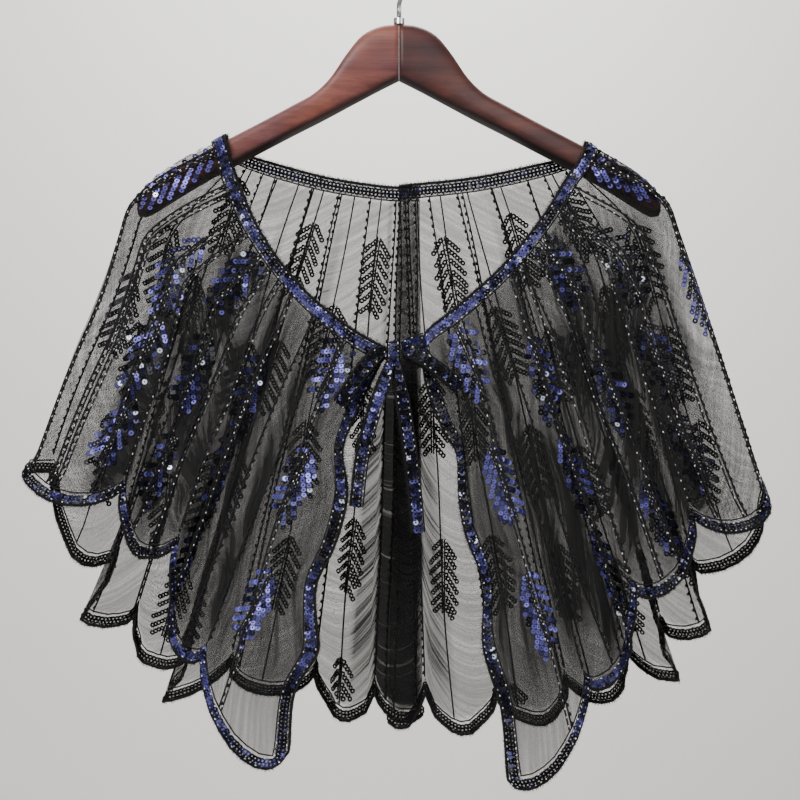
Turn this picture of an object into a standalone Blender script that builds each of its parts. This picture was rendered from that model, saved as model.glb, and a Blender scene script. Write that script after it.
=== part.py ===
"""A sequin capelet of black net, tied at the neck with a bow, hanging on a wooden hanger.

Metres, +Z up. The front faces -Y and +X is to the viewer's right. The origin is the inner top of the
hanger's hook, where the hook rests on a rail. Tables are in millimetres.
"""

import math
from bisect import bisect_right
from collections import namedtuple

import bmesh
import bpy
from mathutils import Matrix, Vector

MM = 0.001

# Cloth and trim
WALL = 1.4  # thickness of the net panels
TRIM_WALL = 1.0  # thickness of the sequin tape
SEAM_GAP = 0.3  # between pieces that meet
TRIM_WIDTH = 11.0  # the sequin tape on the neck, the front edges and the hem
SCALLOP_DEPTH = 25.0  # how far a scallop reaches below its two cusps
SCALLOP_ROUNDNESS = 0.6  # lower is squarer
COLUMNS_PER_GORE = 6
BODY_ROWS = 12  # rows of faces between the neck tape and the hem tape
ROW_CROWDING = 1.25  # how much closer the rows are near the shoulder, 1 is even
FOLD_ONSET = 1.1  # how late a fold opens on its way down, 1 is straight from the neck
SWING_ONSET = 2.0  # the same for its sideways swing
HANGER_CLEARANCE = 2.5  # from the wood to the middle of the cloth
ARCH_DROP = 4.0  # how far below its top the cloth over an arm comes clear of the arm's face
TIP_WRAP = 10.0  # length over which the cloth closes round an arm's tip
TAPE_EDGE_STEP = 0.05  # least width, in gores, of the column beside the front tape
CLOTH_CREASE = 40.0  # degrees between faces past which the cloth's shading has an edge

# Hanger
HANGER_SECTION_POINTS = 12
HANGER_SQUARENESS = 3.2  # exponent of the rounded section
UNDERSIDE_RISE = 4.0  # the front of the underside is this much higher than its back
WOOD_CREASE = 50.0  # degrees between faces past which the hanger's shading has an edge
HOOK_RADIUS = 19.0  # to the middle of the wire
HOOK_WIRE = 3.6  # wire diameter
HOOK_TIP_ANGLE = 200.0  # degrees round the hook's centre, from the right and anticlockwise
HOOK_NECK_ANGLE = -45.0  # where the bend ends, above the shank
HOOK_STEPS = 24
HOOK_BEVEL_RESOLUTION = 3
FERRULE_RADIUS = 4.2
FERRULE_HEIGHT = 4.5
FERRULE_SIDES = 20

# Bow
RIBBON_WIDTH = 10.0
RIBBON_WALL = 1.2
RIBBON_PINCH = 0.5  # share of the width left where the knot gathers it
RIBBON_LOOK = 0.05  # how far each way a ribbon's direction is read, in rows of its table
LOOP_STEPS = 24
TAIL_STEPS = 14
STRAP_STEPS = 4
KNOT_SIZE = (11.0, 10.4, 13.0)
KNOT_AT = (-4.0, -37.6, -310.0)
KNOT_ROUNDING = 3.0
KNOT_SEGMENTS = 3


def named(row_type, *rows):
    """A table whose rows name their columns."""
    return tuple(row_type(*row) for row in rows)


# Sections of one hanger arm, from the middle to the tip: distance out, top, bottom, middle of its depth and
# half of its depth.
ArmSection = namedtuple("ArmSection", "out top bottom depth half_depth")
HANGER_ARM = named(
    ArmSection,
    (0.0, -60.0, -101.0, 5.0, 8.0),
    (14.0, -61.5, -108.0, 5.0, 8.0),
    (28.0, -68.5, -115.5, 4.6, 8.0),
    (40.0, -83.0, -122.0, 4.0, 8.0),
    (52.0, -101.0, -128.5, 3.0, 8.0),
    (64.0, -113.0, -135.0, 1.6, 8.0),
    (78.0, -121.5, -142.5, -0.4, 8.0),
    (104.0, -136.5, -157.0, -4.4, 8.0),
    (130.0, -151.0, -171.5, -8.2, 8.0),
    (156.0, -166.0, -187.0, -11.4, 8.0),
    (176.0, -179.0, -200.0, -13.4, 7.8),
    (188.0, -190.0, -207.0, -14.6, 6.6),
    (194.0, -198.0, -206.5, -15.2, 4.0),
)

# The neck line of each half. "at" is 0 at the front corner, 1 on the hanger and 2 at the centre back.
NeckPoint = namedtuple("NeckPoint", "at x y z")
NECK_LEFT = named(
    NeckPoint,
    (0.00, -8.0, -30.0, -308.0),
    (0.20, -40.0, -28.5, -289.0),
    (0.45, -75.0, -26.5, -258.0),
    (0.70, -102.0, -24.0, -221.0),
    (0.88, -118.0, -21.0, -186.0),
    (0.96, -126.5, -18.0, -160.0),
    (1.00, -129.0, -8.0, -149.0),
    (1.04, -127.5, 0.0, -152.0),
    (1.12, -120.0, 9.0, -156.0),
    (1.30, -104.0, 13.0, -161.0),
    (1.62, -56.0, 15.5, -173.5),
    (1.92, -11.0, 18.5, -180.0),
    (2.20, 16.0, 19.5, -180.5),
)
NECK_RIGHT = named(
    NeckPoint,
    (0.00, 17.0, -30.0, -307.0),
    (0.05, 20.0, -29.8, -295.0),
    (0.20, 42.0, -28.5, -277.0),
    (0.45, 79.0, -26.0, -243.0),
    (0.70, 108.0, -24.0, -207.0),
    (0.88, 124.0, -21.0, -181.0),
    (0.96, 135.5, -18.0, -165.0),
    (1.00, 139.0, -8.0, -155.0),
    (1.04, 138.0, 0.0, -157.5),
    (1.12, 130.0, 9.0, -159.5),
    (1.30, 112.0, 13.0, -163.0),
    (1.62, 60.0, 15.0, -173.5),
    (2.00, 0.0, 15.5, -180.0),
)

# Each row is a fold line from the neck to the hem. Scallops meet at whole gore numbers, counted from the
# front edge. "swing" is how far the hem there hangs over its neighbours, sideways.
FoldLine = namedtuple("FoldLine", "gore at swing hem_x hem_y hem_z")
FOLDS_LEFT = named(
    FoldLine,
    (0.00, 0.00, 0.0, -80.0, -40.0, -600.0),
    (0.13, 0.055, 0.0, -91.0, -43.0, -598.0),
    (0.50, 0.14, 0.0, -114.0, -50.0, -571.0),
    (1.00, 0.27, 0.0, -142.0, -40.0, -532.0),
    (1.50, 0.38, -5.0, -155.0, -22.0, -497.0),
    (2.00, 0.50, 4.0, -168.0, -40.0, -452.0),
    (2.50, 0.61, -5.0, -181.0, -22.0, -436.0),
    (3.00, 0.72, 3.0, -206.0, -38.0, -411.0),
    (3.50, 0.86, 0.0, -244.0, -25.0, -399.0),
    (3.72, 0.96, 0.0, -268.0, -12.0, -388.0),
    (3.80, 1.00, 0.0, -274.0, 0.0, -385.0),
    (3.88, 1.04, 0.0, -273.0, 9.0, -389.0),
    (4.10, 1.10, 0.0, -262.0, 17.0, -403.0),
    (4.50, 1.16, 0.0, -241.0, 11.0, -443.0),
    (5.00, 1.24, 5.0, -226.0, 31.0, -465.0),
    (5.50, 1.32, -16.0, -216.0, 5.0, -489.0),
    (6.00, 1.40, 4.0, -208.0, 24.0, -511.0),
    (6.50, 1.48, 0.0, -194.0, 37.0, -529.0),
    (7.00, 1.56, 6.0, -172.0, 27.0, -543.0),
    (7.50, 1.64, -16.0, -156.0, 4.0, -551.0),
    (8.00, 1.71, 4.0, -134.0, 13.0, -549.0),
    (8.50, 1.78, 0.0, -98.0, 31.0, -552.0),
    (9.00, 1.85, 0.0, -66.0, 24.0, -556.0),
    (9.50, 1.91, 0.0, -42.0, 12.0, -567.0),
    (10.00, 1.99, 0.0, -18.0, 27.0, -572.0),
    (10.40, 2.10, 0.0, 2.0, 34.0, -574.0),
    (10.80, 2.20, 0.0, 18.0, 31.0, -573.0),
)
FOLDS_RIGHT = named(
    FoldLine,
    (0.00, 0.00, 0.0, 79.0, -42.0, -620.0),
    (0.13, 0.055, 0.0, 88.0, -45.0, -612.0),
    (0.50, 0.14, 0.0, 108.0, -51.0, -587.0),
    (1.00, 0.27, 0.0, 136.0, -40.0, -552.0),
    (1.50, 0.38, 5.0, 155.0, -23.0, -516.0),
    (2.00, 0.50, -4.0, 175.0, -42.0, -483.0),
    (2.50, 0.61, 6.0, 192.0, -23.0, -456.0),
    (3.00, 0.72, -4.0, 219.0, -39.0, -431.0),
    (3.50, 0.86, 0.0, 246.0, -24.0, -420.0),
    (3.92, 0.96, 0.0, 271.0, -12.0, -416.0),
    (4.00, 1.00, 0.0, 275.0, 0.0, -415.0),
    (4.08, 1.04, 0.0, 274.0, 9.0, -417.0),
    (4.50, 1.12, 0.0, 262.0, 22.0, -442.0),
    (5.00, 1.22, -5.0, 236.0, 32.0, -475.0),
    (5.50, 1.31, 9.0, 219.0, 4.0, -497.0),
    (6.00, 1.40, -5.0, 210.0, 27.0, -522.0),
    (6.50, 1.48, 9.0, 196.0, 6.0, -536.0),
    (7.00, 1.56, -5.0, 184.0, 30.0, -544.0),
    (7.50, 1.64, 0.0, 158.0, 11.0, -552.0),
    (8.00, 1.71, 0.0, 132.0, 29.0, -566.0),
    (8.50, 1.78, 0.0, 107.0, 10.0, -570.0),
    (9.00, 1.85, 0.0, 76.0, 27.0, -577.0),
    (9.50, 1.91, 0.0, 46.0, 12.0, -578.0),
    (10.00, 1.95, 0.0, 20.0, 19.0, -571.0),
    (10.40, 1.975, 0.0, 6.0, 17.0, -574.0),
    (10.80, 2.00, 0.0, -8.0, 17.0, -575.0),
)

# The stepped front edge: share of the way down, and where the edge is there.
LinePoint = namedtuple("LinePoint", "down x y z")
EDGE_LEFT = named(
    LinePoint,
    (0.00, -8.0, -30.0, -308.0),
    (0.18, -33.0, -32.0, -360.0),
    (0.26, -41.0, -33.0, -382.0),
    (0.37, -37.5, -34.0, -415.0),
    (0.49, -46.5, -35.0, -451.0),
    (0.59, -60.5, -36.0, -480.0),
    (0.70, -60.0, -37.0, -511.0),
    (0.77, -59.0, -37.0, -529.0),
    (0.86, -76.0, -38.0, -556.0),
    (1.00, -80.0, -40.0, -600.0),
)
EDGE_RIGHT = named(
    LinePoint,
    (0.00, 17.0, -30.0, -307.0),
    (0.10, 20.0, -31.0, -335.0),
    (0.20, 33.0, -32.0, -369.0),
    (0.28, 43.0, -33.0, -386.0),
    (0.37, 44.5, -34.0, -418.0),
    (0.45, 49.0, -35.0, -444.0),
    (0.58, 62.5, -36.0, -481.0),
    (0.70, 61.5, -37.0, -522.0),
    (0.77, 65.5, -38.0, -540.0),
    (0.86, 75.0, -40.0, -570.0),
    (1.00, 79.0, -42.0, -620.0),
)
EDGE_REACH = 1.0  # gores over which the steps fade into the panel

# The shoulder line over the arm's tip and down the side, as the front edge's table. On the arm it is the
# arm's top, so there only its distance out counts.
SHOULDER_LEFT = named(
    LinePoint,
    (0.00, -129.0, -8.0, -149.0),
    (0.11, -156.0, -11.4, -164.8),
    (0.20, -180.5, -13.8, -181.0),
    (0.276, -199.5, -15.0, -198.0),
    (0.34, -207.0, -13.5, -217.0),
    (0.50, -223.0, -9.0, -260.0),
    (0.70, -244.5, -4.5, -309.0),
    (1.00, -274.0, 0.0, -385.0),
)
SHOULDER_RIGHT = named(
    LinePoint,
    (0.00, 139.0, -8.0, -155.0),
    (0.10, 160.0, -12.0, -168.6),
    (0.20, 182.0, -14.0, -182.4),
    (0.27, 199.5, -15.0, -198.5),
    (0.33, 207.0, -13.5, -218.0),
    (0.50, 225.0, -9.0, -269.0),
    (0.70, 245.0, -4.5, -326.0),
    (1.00, 275.0, 0.0, -415.0),
)
SHOULDER_REACH = 1.3  # gores over which the shoulder's height fades into the panel
SHOULDER_STEPS = (0.014, 0.035, 0.08, 0.14, 0.22)  # gores from the shoulder to the extra columns beside it

# The end of the hook's wire, from the bend down to the ferrule. "back" is the share of the way back from the
# hook's plane to the middle of the wood.
NeckStep = namedtuple("NeckStep", "x back above_ferrule")
HOOK_NECK = named(
    NeckStep,
    (2.0, 0.4, 16.1),
    (0.0, 0.9, 10.7),
    (0.0, 1.0, 6.0),
    (0.0, 1.0, 0.0),
)

# Middle lines of the bow's ribbons: x, y and z of each point, from the knot on.
RibbonStep = namedtuple("RibbonStep", "step x y z")
LOOP_LEFT = (
    (-11.5, -41.0, -308.3),
    (-16.0, -44.5, -312.0),
    (-26.0, -46.5, -323.0),
    (-37.0, -45.5, -339.0),
    (-43.0, -41.5, -347.5),
    (-38.0, -37.5, -341.0),
    (-28.0, -35.8, -327.0),
    (-18.0, -35.2, -317.0),
    (-11.6, -35.6, -312.5),
)
LOOP_RIGHT = (
    (3.2, -41.0, -308.3),
    (9.0, -44.5, -310.5),
    (22.0, -46.5, -318.0),
    (36.0, -45.5, -329.0),
    (43.5, -41.5, -335.0),
    (38.0, -37.5, -331.0),
    (26.0, -35.8, -321.0),
    (12.0, -35.2, -314.5),
    (3.2, -35.6, -311.5),
)
TAIL_LEFT = (
    (-6.0, -41.2, -317.5),
    (-11.0, -41.5, -333.0),
    (-20.0, -41.0, -360.0),
    (-27.0, -40.0, -388.0),
    (-31.0, -39.5, -423.0),
)
TAIL_RIGHT = (
    (-2.0, -38.6, -317.3),
    (2.5, -39.0, -345.0),
    (7.0, -39.0, -375.0),
    (11.0, -38.5, -408.0),
    (14.0, -38.0, -442.0),
)
TIE_RIGHT = (
    (2.2, -35.8, -306.0),
    (9.0, -34.0, -304.0),
    (19.0, -33.3, -301.0),
)

COLOURS = {
    "net": ((0.012, 0.012, 0.016), 0.75, 0.0),
    "sequin_tape": ((0.03, 0.04, 0.22), 0.3, 0.4),
    "wood": ((0.2, 0.07, 0.055), 0.35, 0.0),
    "steel": ((0.62, 0.62, 0.62), 0.25, 1.0),
}


def fresh_scene():
    """An empty scene with one collection for the parts."""
    for old in list(bpy.data.objects):
        bpy.data.objects.remove(old)
    parts = bpy.data.collections.new("sequin_capelet")
    bpy.context.scene.collection.children.link(parts)
    return parts


def make_materials():
    made = {}
    for name, (colour, roughness, metallic) in COLOURS.items():
        material = bpy.data.materials.new(name)
        material.use_nodes = True
        shader = material.node_tree.nodes["Principled BSDF"]
        shader.inputs["Base Color"].default_value = (*colour, 1.0)
        shader.inputs["Roughness"].default_value = roughness
        shader.inputs["Metallic"].default_value = metallic
        made[name] = material
    return made


def row_at(rows, key):
    """The row at one value of a table's first column, on the smooth curve through the table's rows."""
    i = min(max(bisect_right([row[0] for row in rows], key) - 1, 0), len(rows) - 2)
    here, there = rows[i], rows[i + 1]
    before = rows[i - 1] if i > 0 else None
    after = rows[i + 2] if i + 2 < len(rows) else None
    span = there[0] - here[0]
    f = (key - here[0]) / span
    values = []
    for column in range(1, len(here)):
        a, b = here[column], there[column]
        chord = (b - a) / span
        slope_a = (b - before[column]) / (there[0] - before[0]) if before else chord
        slope_b = (after[column] - a) / (after[0] - here[0]) if after else chord
        bend = f * (1 - f) * ((1 - f) * (slope_a - chord) - f * (slope_b - chord)) * span
        values.append(a + (b - a) * f + bend)
    return type(here)(key, *values)


def place_of(row):
    return Vector((row.x, row.y, row.z))


def arm_section(out):
    """The arm's section at a distance from the middle."""
    return row_at(HANGER_ARM, min(abs(out), HANGER_ARM[-1].out))


def over_arm(point, side):
    """The point on the cloth that lies over an arm: side is -1 in front of it, 1 behind it, 0 on its top."""
    end_of_wrap = HANGER_ARM[-1].out + HANGER_CLEARANCE + WALL
    past_start = (abs(point.x) - end_of_wrap) / TIP_WRAP + 1
    arm = arm_section(point.x)
    crest = arm.top + HANGER_CLEARANCE
    if past_start >= 1 or point.z < arm.bottom - ARCH_DROP:
        return point
    if side == 0:
        return Vector((point.x, arm.depth, crest))
    below = min(max((crest - point.z) / ARCH_DROP, 0.0), 1.0)
    arch = math.sqrt(1 - (1 - below) ** 2)
    wrap = math.sqrt(1 - max(past_start, 0.0) ** 2)
    stand_off = (arm.half_depth + HANGER_CLEARANCE) * arch * wrap
    y = arm.depth + side * max(stand_off, side * (point.y - arm.depth))
    return Vector((point.x, y, min(point.z, crest)))


class Half:
    """One half of the capelet: the panel from the front edge, over the shoulder, to the centre back."""

    def __init__(self, neck, folds, edge, shoulder, facing):
        self.neck = neck
        self.folds = folds
        self.edge = edge
        self.shoulder = shoulder
        self.facing = facing
        self.last_gore = folds[-1].gore
        self.tape_gore = folds[1].gore
        self.shoulder_gore = next(fold.gore for fold in folds if fold.at == 1.0)

    def rib_ends(self, gore):
        """Where a line of the cloth starts at the neck, where it ends level with the cusps, and its swing."""
        fold = row_at(self.folds, gore)
        start = place_of(row_at(self.neck, fold.at))
        return start, Vector((fold.hem_x, fold.hem_y, fold.hem_z)), fold.swing

    def drift(self, line, down, weight):
        """How far a named line of the cloth leaves the straight way down, by its weight there."""
        straight = place_of(line[0]).lerp(place_of(line[-1]), down)
        return (place_of(row_at(line, down)) - straight) * weight

    def point(self, gore, down):
        """The middle of the cloth: down is 0 at the neck and 1 on the line through the scallops' cusps."""
        start, hem, swing = self.rib_ends(gore)
        place = start.lerp(hem, down)
        place.y = start.y + (hem.y - start.y) * down**FOLD_ONSET
        place.x += swing * down**SWING_ONSET
        near_edge = max(0.0, 1 - gore / EDGE_REACH) ** 2
        near_shoulder = math.exp(-(((gore - self.shoulder_gore) / SHOULDER_REACH) ** 2))
        if down < 1:
            place += self.drift(self.edge, down, near_edge)
            place += self.drift(self.shoulder, down, near_shoulder)
        side = 0 if gore == self.shoulder_gore else math.copysign(1, gore - self.shoulder_gore)
        return over_arm(place, side)

    def length(self, gore):
        start, hem, _ = self.rib_ends(gore)
        return (hem - start).length

    def hem_share(self, gore):
        """How far down the hem is, past 1 inside a scallop."""
        across = 2 * (gore % 1.0) - 1
        round_part = max(0.0, 1 - across * across) ** SCALLOP_ROUNDNESS
        return 1 + SCALLOP_DEPTH * round_part / self.length(gore)

    def gores(self):
        """The columns of the panel: the tape's inner edge, then evenly, with every cusp on a column."""
        count = round(self.last_gore * COLUMNS_PER_GORE)
        shoulder = self.shoulder_gore
        near = [shoulder] + [shoulder + step * sign for step in SHOULDER_STEPS for sign in (-1, 1)]
        reach = SHOULDER_STEPS[-1] + SHOULDER_STEPS[0]
        first_even = self.tape_gore + TAPE_EDGE_STEP
        even = [i / COLUMNS_PER_GORE for i in range(1, count)]
        even = [gore for gore in even if gore > first_even and abs(gore - shoulder) > reach]
        return [0.0, self.tape_gore] + sorted(even + near) + [self.last_gore]

    def rows(self, gore):
        """Shares of the way down: the neck tape, the body and the hem tape."""
        tape = TRIM_WIDTH / self.length(gore)
        hem = self.hem_share(gore)
        body = hem - 2 * tape
        inner = [tape + body * (i / BODY_ROWS) ** ROW_CROWDING for i in range(BODY_ROWS + 1)]
        return [0.0] + inner + [hem]

    def grid(self):
        return [[self.point(gore, down) for down in self.rows(gore)] for gore in self.gores()]


LEFT = Half(NECK_LEFT, FOLDS_LEFT, EDGE_LEFT, SHOULDER_LEFT, -1)
RIGHT = Half(NECK_RIGHT, FOLDS_RIGHT, EDGE_RIGHT, SHOULDER_RIGHT, 1)


def add_object(name, data, material, parts):
    made = bpy.data.objects.new(name, data)
    made.data.materials.append(material)
    parts.objects.link(made)
    return made


def claim_object(name, material, parts):
    """Name the primitive that was just added, and move it to the parts' collection."""
    made = bpy.context.object
    made.name = name
    made.data.materials.append(material)
    for owner in list(made.users_collection):
        owner.objects.unlink(made)
    parts.objects.link(made)
    return made


def shade_round(mesh, angle):
    """Smooth shading, with a crease wherever faces meet at more than an angle."""
    mesh.shade_smooth()
    mesh.set_sharp_from_angle(angle=math.radians(angle))


def cell_corners(i, j):
    return (i, j), (i, j + 1), (i + 1, j + 1), (i + 1, j)


def grid_mesh(name, grid, cells, facing):
    """A mesh of some cells of a grid of points, a loft between the fold lines."""
    mesh = bmesh.new()
    corners = {}
    for i, j in cells:
        for key in cell_corners(i, j):
            if key not in corners:
                corners[key] = mesh.verts.new(grid[key[0]][key[1]] * MM)
        ring = [corners[key] for key in cell_corners(i, j)]
        mesh.faces.new(ring if facing > 0 else ring[::-1])
    made = bpy.data.meshes.new(name)
    mesh.normal_update()
    mesh.to_mesh(made)
    mesh.free()
    shade_round(made, CLOTH_CREASE)
    return made


def add_sheet(name, grid, cells, facing, wall, material, parts):
    """Cloth or tape of one thickness, with the grid's points in the middle of it."""
    sheet = add_object(name, grid_mesh(name, grid, cells, facing), material, parts)
    shell = sheet.modifiers.new("wall", "SOLIDIFY")
    shell.thickness = wall * MM
    shell.offset = 0.0


def grid_normals(grid, facing):
    """Each grid point's outward direction, read from the whole panel."""
    cells = [(i, j) for i in range(len(grid) - 1) for j in range(len(grid[0]) - 1)]
    mesh = grid_mesh("normals", grid, cells, facing)
    order = {}
    for i, j in cells:
        for key in cell_corners(i, j):
            order.setdefault(key, len(order))
    normals = {key: mesh.vertices[n].normal.copy() for key, n in order.items()}
    bpy.data.meshes.remove(mesh)
    return normals


def build_half(side, half, materials, parts):
    """The net panel and its two tapes: one round the neck, one down the front edge and along the hem."""
    grid = half.grid()
    columns, rows = len(grid) - 1, len(grid[0]) - 1
    cells = [(i, j) for i in range(columns) for j in range(rows)]
    add_sheet(f"cape_{side}", grid, cells, half.facing, WALL, materials["net"], parts)

    normals = grid_normals(grid, half.facing)
    lift = WALL / 2 + SEAM_GAP + TRIM_WALL / 2
    on_top = [[p + normals[i, j] * lift for j, p in enumerate(column)] for i, column in enumerate(grid)]
    neck_cells = [(i, 0) for i in range(columns)]
    tape = materials["sequin_tape"]
    add_sheet(f"neck_trim_{side}", on_top, neck_cells, half.facing, TRIM_WALL, tape, parts)

    for column in on_top[:2]:
        column[1] = column[1].lerp(column[2], 2 * SEAM_GAP / (column[2] - column[1]).length)
    edge_cells = [(0, j) for j in range(1, rows)] + [(i, rows - 1) for i in range(1, columns)]
    add_sheet(f"edge_trim_{side}", on_top, edge_cells, half.facing, TRIM_WALL, tape, parts)


def arm_ring(arm):
    """The points round one section of an arm: a rounded box, with the front of its underside raised."""
    middle, half_height = (arm.top + arm.bottom) / 2, (arm.top - arm.bottom) / 2
    ring = []
    for k in range(HANGER_SECTION_POINTS):
        turn = 2 * math.pi * (k + 0.5) / HANGER_SECTION_POINTS
        c, s = math.cos(turn), math.sin(turn)
        size = (abs(c) ** HANGER_SQUARENESS + abs(s) ** HANGER_SQUARENESS) ** (-1 / HANGER_SQUARENESS)
        back, up = c * size, s * size
        lift = UNDERSIDE_RISE / 2 * (1 - back) / 2 * max(-s, 0.0)
        ring.append(Vector((arm.out, arm.depth + back * arm.half_depth, middle + up * half_height + lift)))
    return ring


def build_hanger(materials, parts):
    """The wooden arms, lofted through their sections, and mirrored at the middle."""
    mesh = bmesh.new()
    rings = [[mesh.verts.new(point * MM) for point in arm_ring(arm)] for arm in HANGER_ARM]
    for a, b in zip(rings, rings[1:]):
        for k in range(HANGER_SECTION_POINTS):
            n = (k + 1) % HANGER_SECTION_POINTS
            mesh.faces.new((a[k], a[n], b[n], b[k]))
    mesh.faces.new(rings[-1])
    bmesh.ops.recalc_face_normals(mesh, faces=mesh.faces)
    made = bpy.data.meshes.new("hanger_wood")
    mesh.to_mesh(made)
    mesh.free()
    shade_round(made, WOOD_CREASE)
    wood = add_object("hanger_wood", made, materials["wood"], parts)
    mirror = wood.modifiers.new("other arm", "MIRROR")
    mirror.merge_threshold = 0.0001


def hook_line():
    """The middle of the wire: the bend round the rail, an offset under it, and the shank to the ferrule."""
    wood = arm_section(0.0)
    centre_z = HOOK_WIRE / 2 - HOOK_RADIUS
    points = []
    for step in range(HOOK_STEPS + 1):
        turn = math.radians(HOOK_TIP_ANGLE + (HOOK_NECK_ANGLE - HOOK_TIP_ANGLE) * step / HOOK_STEPS)
        points.append(Vector((HOOK_RADIUS * math.cos(turn), 0.0, centre_z + HOOK_RADIUS * math.sin(turn))))
    shank_foot = wood.top + FERRULE_HEIGHT + 2 * SEAM_GAP
    for row in HOOK_NECK:
        points.append(Vector((row.x, wood.depth * row.back, shank_foot + row.above_ferrule)))
    return points


def build_hook(materials, parts):
    """The steel hook and the ferrule it comes out of."""
    points = hook_line()
    wire = bpy.data.curves.new("hook_wire", "CURVE")
    wire.dimensions = "3D"
    wire.bevel_depth = HOOK_WIRE / 2 * MM
    wire.bevel_resolution = HOOK_BEVEL_RESOLUTION
    wire.use_fill_caps = True
    spline = wire.splines.new("POLY")
    spline.points.add(len(points) - 1)
    for slot, point in zip(spline.points, points):
        slot.co = (*(point * MM), 1.0)
    add_object("hook_wire", wire, materials["steel"], parts)

    wood = arm_section(0.0)
    bpy.ops.mesh.primitive_cylinder_add(
        vertices=FERRULE_SIDES,
        radius=FERRULE_RADIUS * MM,
        depth=FERRULE_HEIGHT * MM,
        location=Vector((0.0, wood.depth, wood.top + SEAM_GAP + FERRULE_HEIGHT / 2)) * MM,
    )
    ferrule = claim_object("hook_ferrule", materials["steel"], parts)
    shade_round(ferrule.data, WOOD_CREASE)


def ribbon_grid(line, steps, is_loop):
    """Points across a ribbon at each step of its middle line.

    A ribbon is gathered where it starts at the knot. A loop ends there too, and lies square to its own
    length.
    """
    rows = [RibbonStep(i, *point) for i, point in enumerate(line)]
    last = len(line) - 1
    grid = []
    for step in range(steps + 1):
        at = last * step / steps
        first, second = (0, last / 2) if is_loop else (max(at - RIBBON_LOOK, 0), min(at + RIBBON_LOOK, last))
        along = place_of(row_at(rows, second)) - place_of(row_at(rows, first))
        across = Vector((along.z, 0.0, -along.x)).normalized()
        from_knot = min(at, last - at) if is_loop else at
        gathered = max(1 - from_knot, 0.0)
        half_width = RIBBON_WIDTH / 2 * (1 - (1 - RIBBON_PINCH) * gathered)
        middle = place_of(row_at(rows, at))
        grid.append([middle + across * half_width, middle - across * half_width])
    return grid


def build_bow(materials, parts):
    """The knot, and each ribbon that comes out of it."""
    tape = materials["sequin_tape"]
    for name, line, steps, is_loop in (
        ("bow_loop_left", LOOP_LEFT, LOOP_STEPS, True),
        ("bow_loop_right", LOOP_RIGHT, LOOP_STEPS, True),
        ("tie_tail_left", TAIL_LEFT, TAIL_STEPS, False),
        ("tie_tail_right", TAIL_RIGHT, TAIL_STEPS, False),
        ("tie_strap_right", TIE_RIGHT, STRAP_STEPS, False),
    ):
        grid = ribbon_grid(line, steps, is_loop)
        cells = [(i, 0) for i in range(steps)]
        add_sheet(name, grid, cells, 1, RIBBON_WALL, tape, parts)
    bpy.ops.mesh.primitive_cube_add(size=1.0, location=Vector(KNOT_AT) * MM)
    knot = claim_object("bow_knot", tape, parts)
    knot.data.transform(Matrix.Diagonal((*(Vector(KNOT_SIZE) * MM), 1.0)))
    knot.data.shade_smooth()
    rounding = knot.modifiers.new("rounding", "BEVEL")
    rounding.width = KNOT_ROUNDING * MM
    rounding.segments = KNOT_SEGMENTS


def main():
    parts = fresh_scene()
    materials = make_materials()
    build_hanger(materials, parts)
    build_hook(materials, parts)
    build_half("left", LEFT, materials, parts)
    build_half("right", RIGHT, materials, parts)
    build_bow(materials, parts)


main()
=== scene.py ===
import math
from bisect import bisect_right
from collections import namedtuple

import bmesh
import bpy
import numpy as np
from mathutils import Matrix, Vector


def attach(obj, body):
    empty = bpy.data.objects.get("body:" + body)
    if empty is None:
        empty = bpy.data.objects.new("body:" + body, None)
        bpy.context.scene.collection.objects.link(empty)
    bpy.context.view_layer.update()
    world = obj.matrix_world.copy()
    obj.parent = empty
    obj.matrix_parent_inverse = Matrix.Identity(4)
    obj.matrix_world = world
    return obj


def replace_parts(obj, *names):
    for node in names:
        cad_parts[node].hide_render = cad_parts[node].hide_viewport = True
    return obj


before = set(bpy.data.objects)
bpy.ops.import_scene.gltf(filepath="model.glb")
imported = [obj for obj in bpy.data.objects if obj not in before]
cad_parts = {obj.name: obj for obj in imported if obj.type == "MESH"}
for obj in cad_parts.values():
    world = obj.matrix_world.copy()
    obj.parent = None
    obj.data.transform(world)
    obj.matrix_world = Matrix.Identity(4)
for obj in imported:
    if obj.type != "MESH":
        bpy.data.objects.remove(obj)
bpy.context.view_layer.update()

# A sequin capelet of black net on its wooden hanger. Metres, +Z up, the front faces -Y. The tables and the
# sizes named here are in millimetres. A place on the cloth is a gore, counted in scallops from the front
# edge, and how far down it is from the neck: 1 is on the line through the scallops' cusps.

MM = 0.001
SEED = 7

# Cloth and trim, as the solids have them
WALL = 1.4
SEAM_GAP = 0.3
TRIM_WALL = 1.0
TRIM_WIDTH = 11.0
SCALLOP_DEPTH = 25.0
SCALLOP_ROUNDNESS = 0.6
FOLD_ONSET = 1.1
SWING_ONSET = 2.0
HANGER_CLEARANCE = 2.5
ARCH_DROP = 4.0
TIP_WRAP = 10.0
EDGE_REACH = 1.0
SHOULDER_REACH = 1.3
SHOULDER_STEPS = (0.014, 0.035, 0.08, 0.14, 0.22)

# The net as it looks. Where there are three values, they are for thin, plain and bunched net.
NET_SHELL = 0.5  # thickness of the net's shell
NET_LIFT = 0.45  # from the middle of the solid's wall out to the middle of the net
NET_FACE = NET_LIFT + NET_SHELL / 2  # the net's outer face
NET_CELL = 0.6  # between the threads of its diamond mesh
NET_COLUMNS = 12  # columns of faces in a gore, crowded towards the cusps
NET_ROWS = 54
NET_THREADS = (0.05, 0.21, 0.3)  # half a thread's share of a cell
NET_HOLES = (0.03, 0.46, 0.985)  # what the fuzz between the threads holds back
NET_THREAD_ALPHA = 0.74
NET_INNER_ALPHA = 0.04  # the inner face of the net's shell, and what tight folds add to it
NET_INNER_BUNCHED = 0.12
NET_WANDER = 0.9  # how far a thread strays, in cells
NET_STREAKS = 240.0  # how fine the streaks are that run down the net
NET_STREAK_DEPTH = 0.24
STREAK_STRETCH = 0.06
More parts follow.
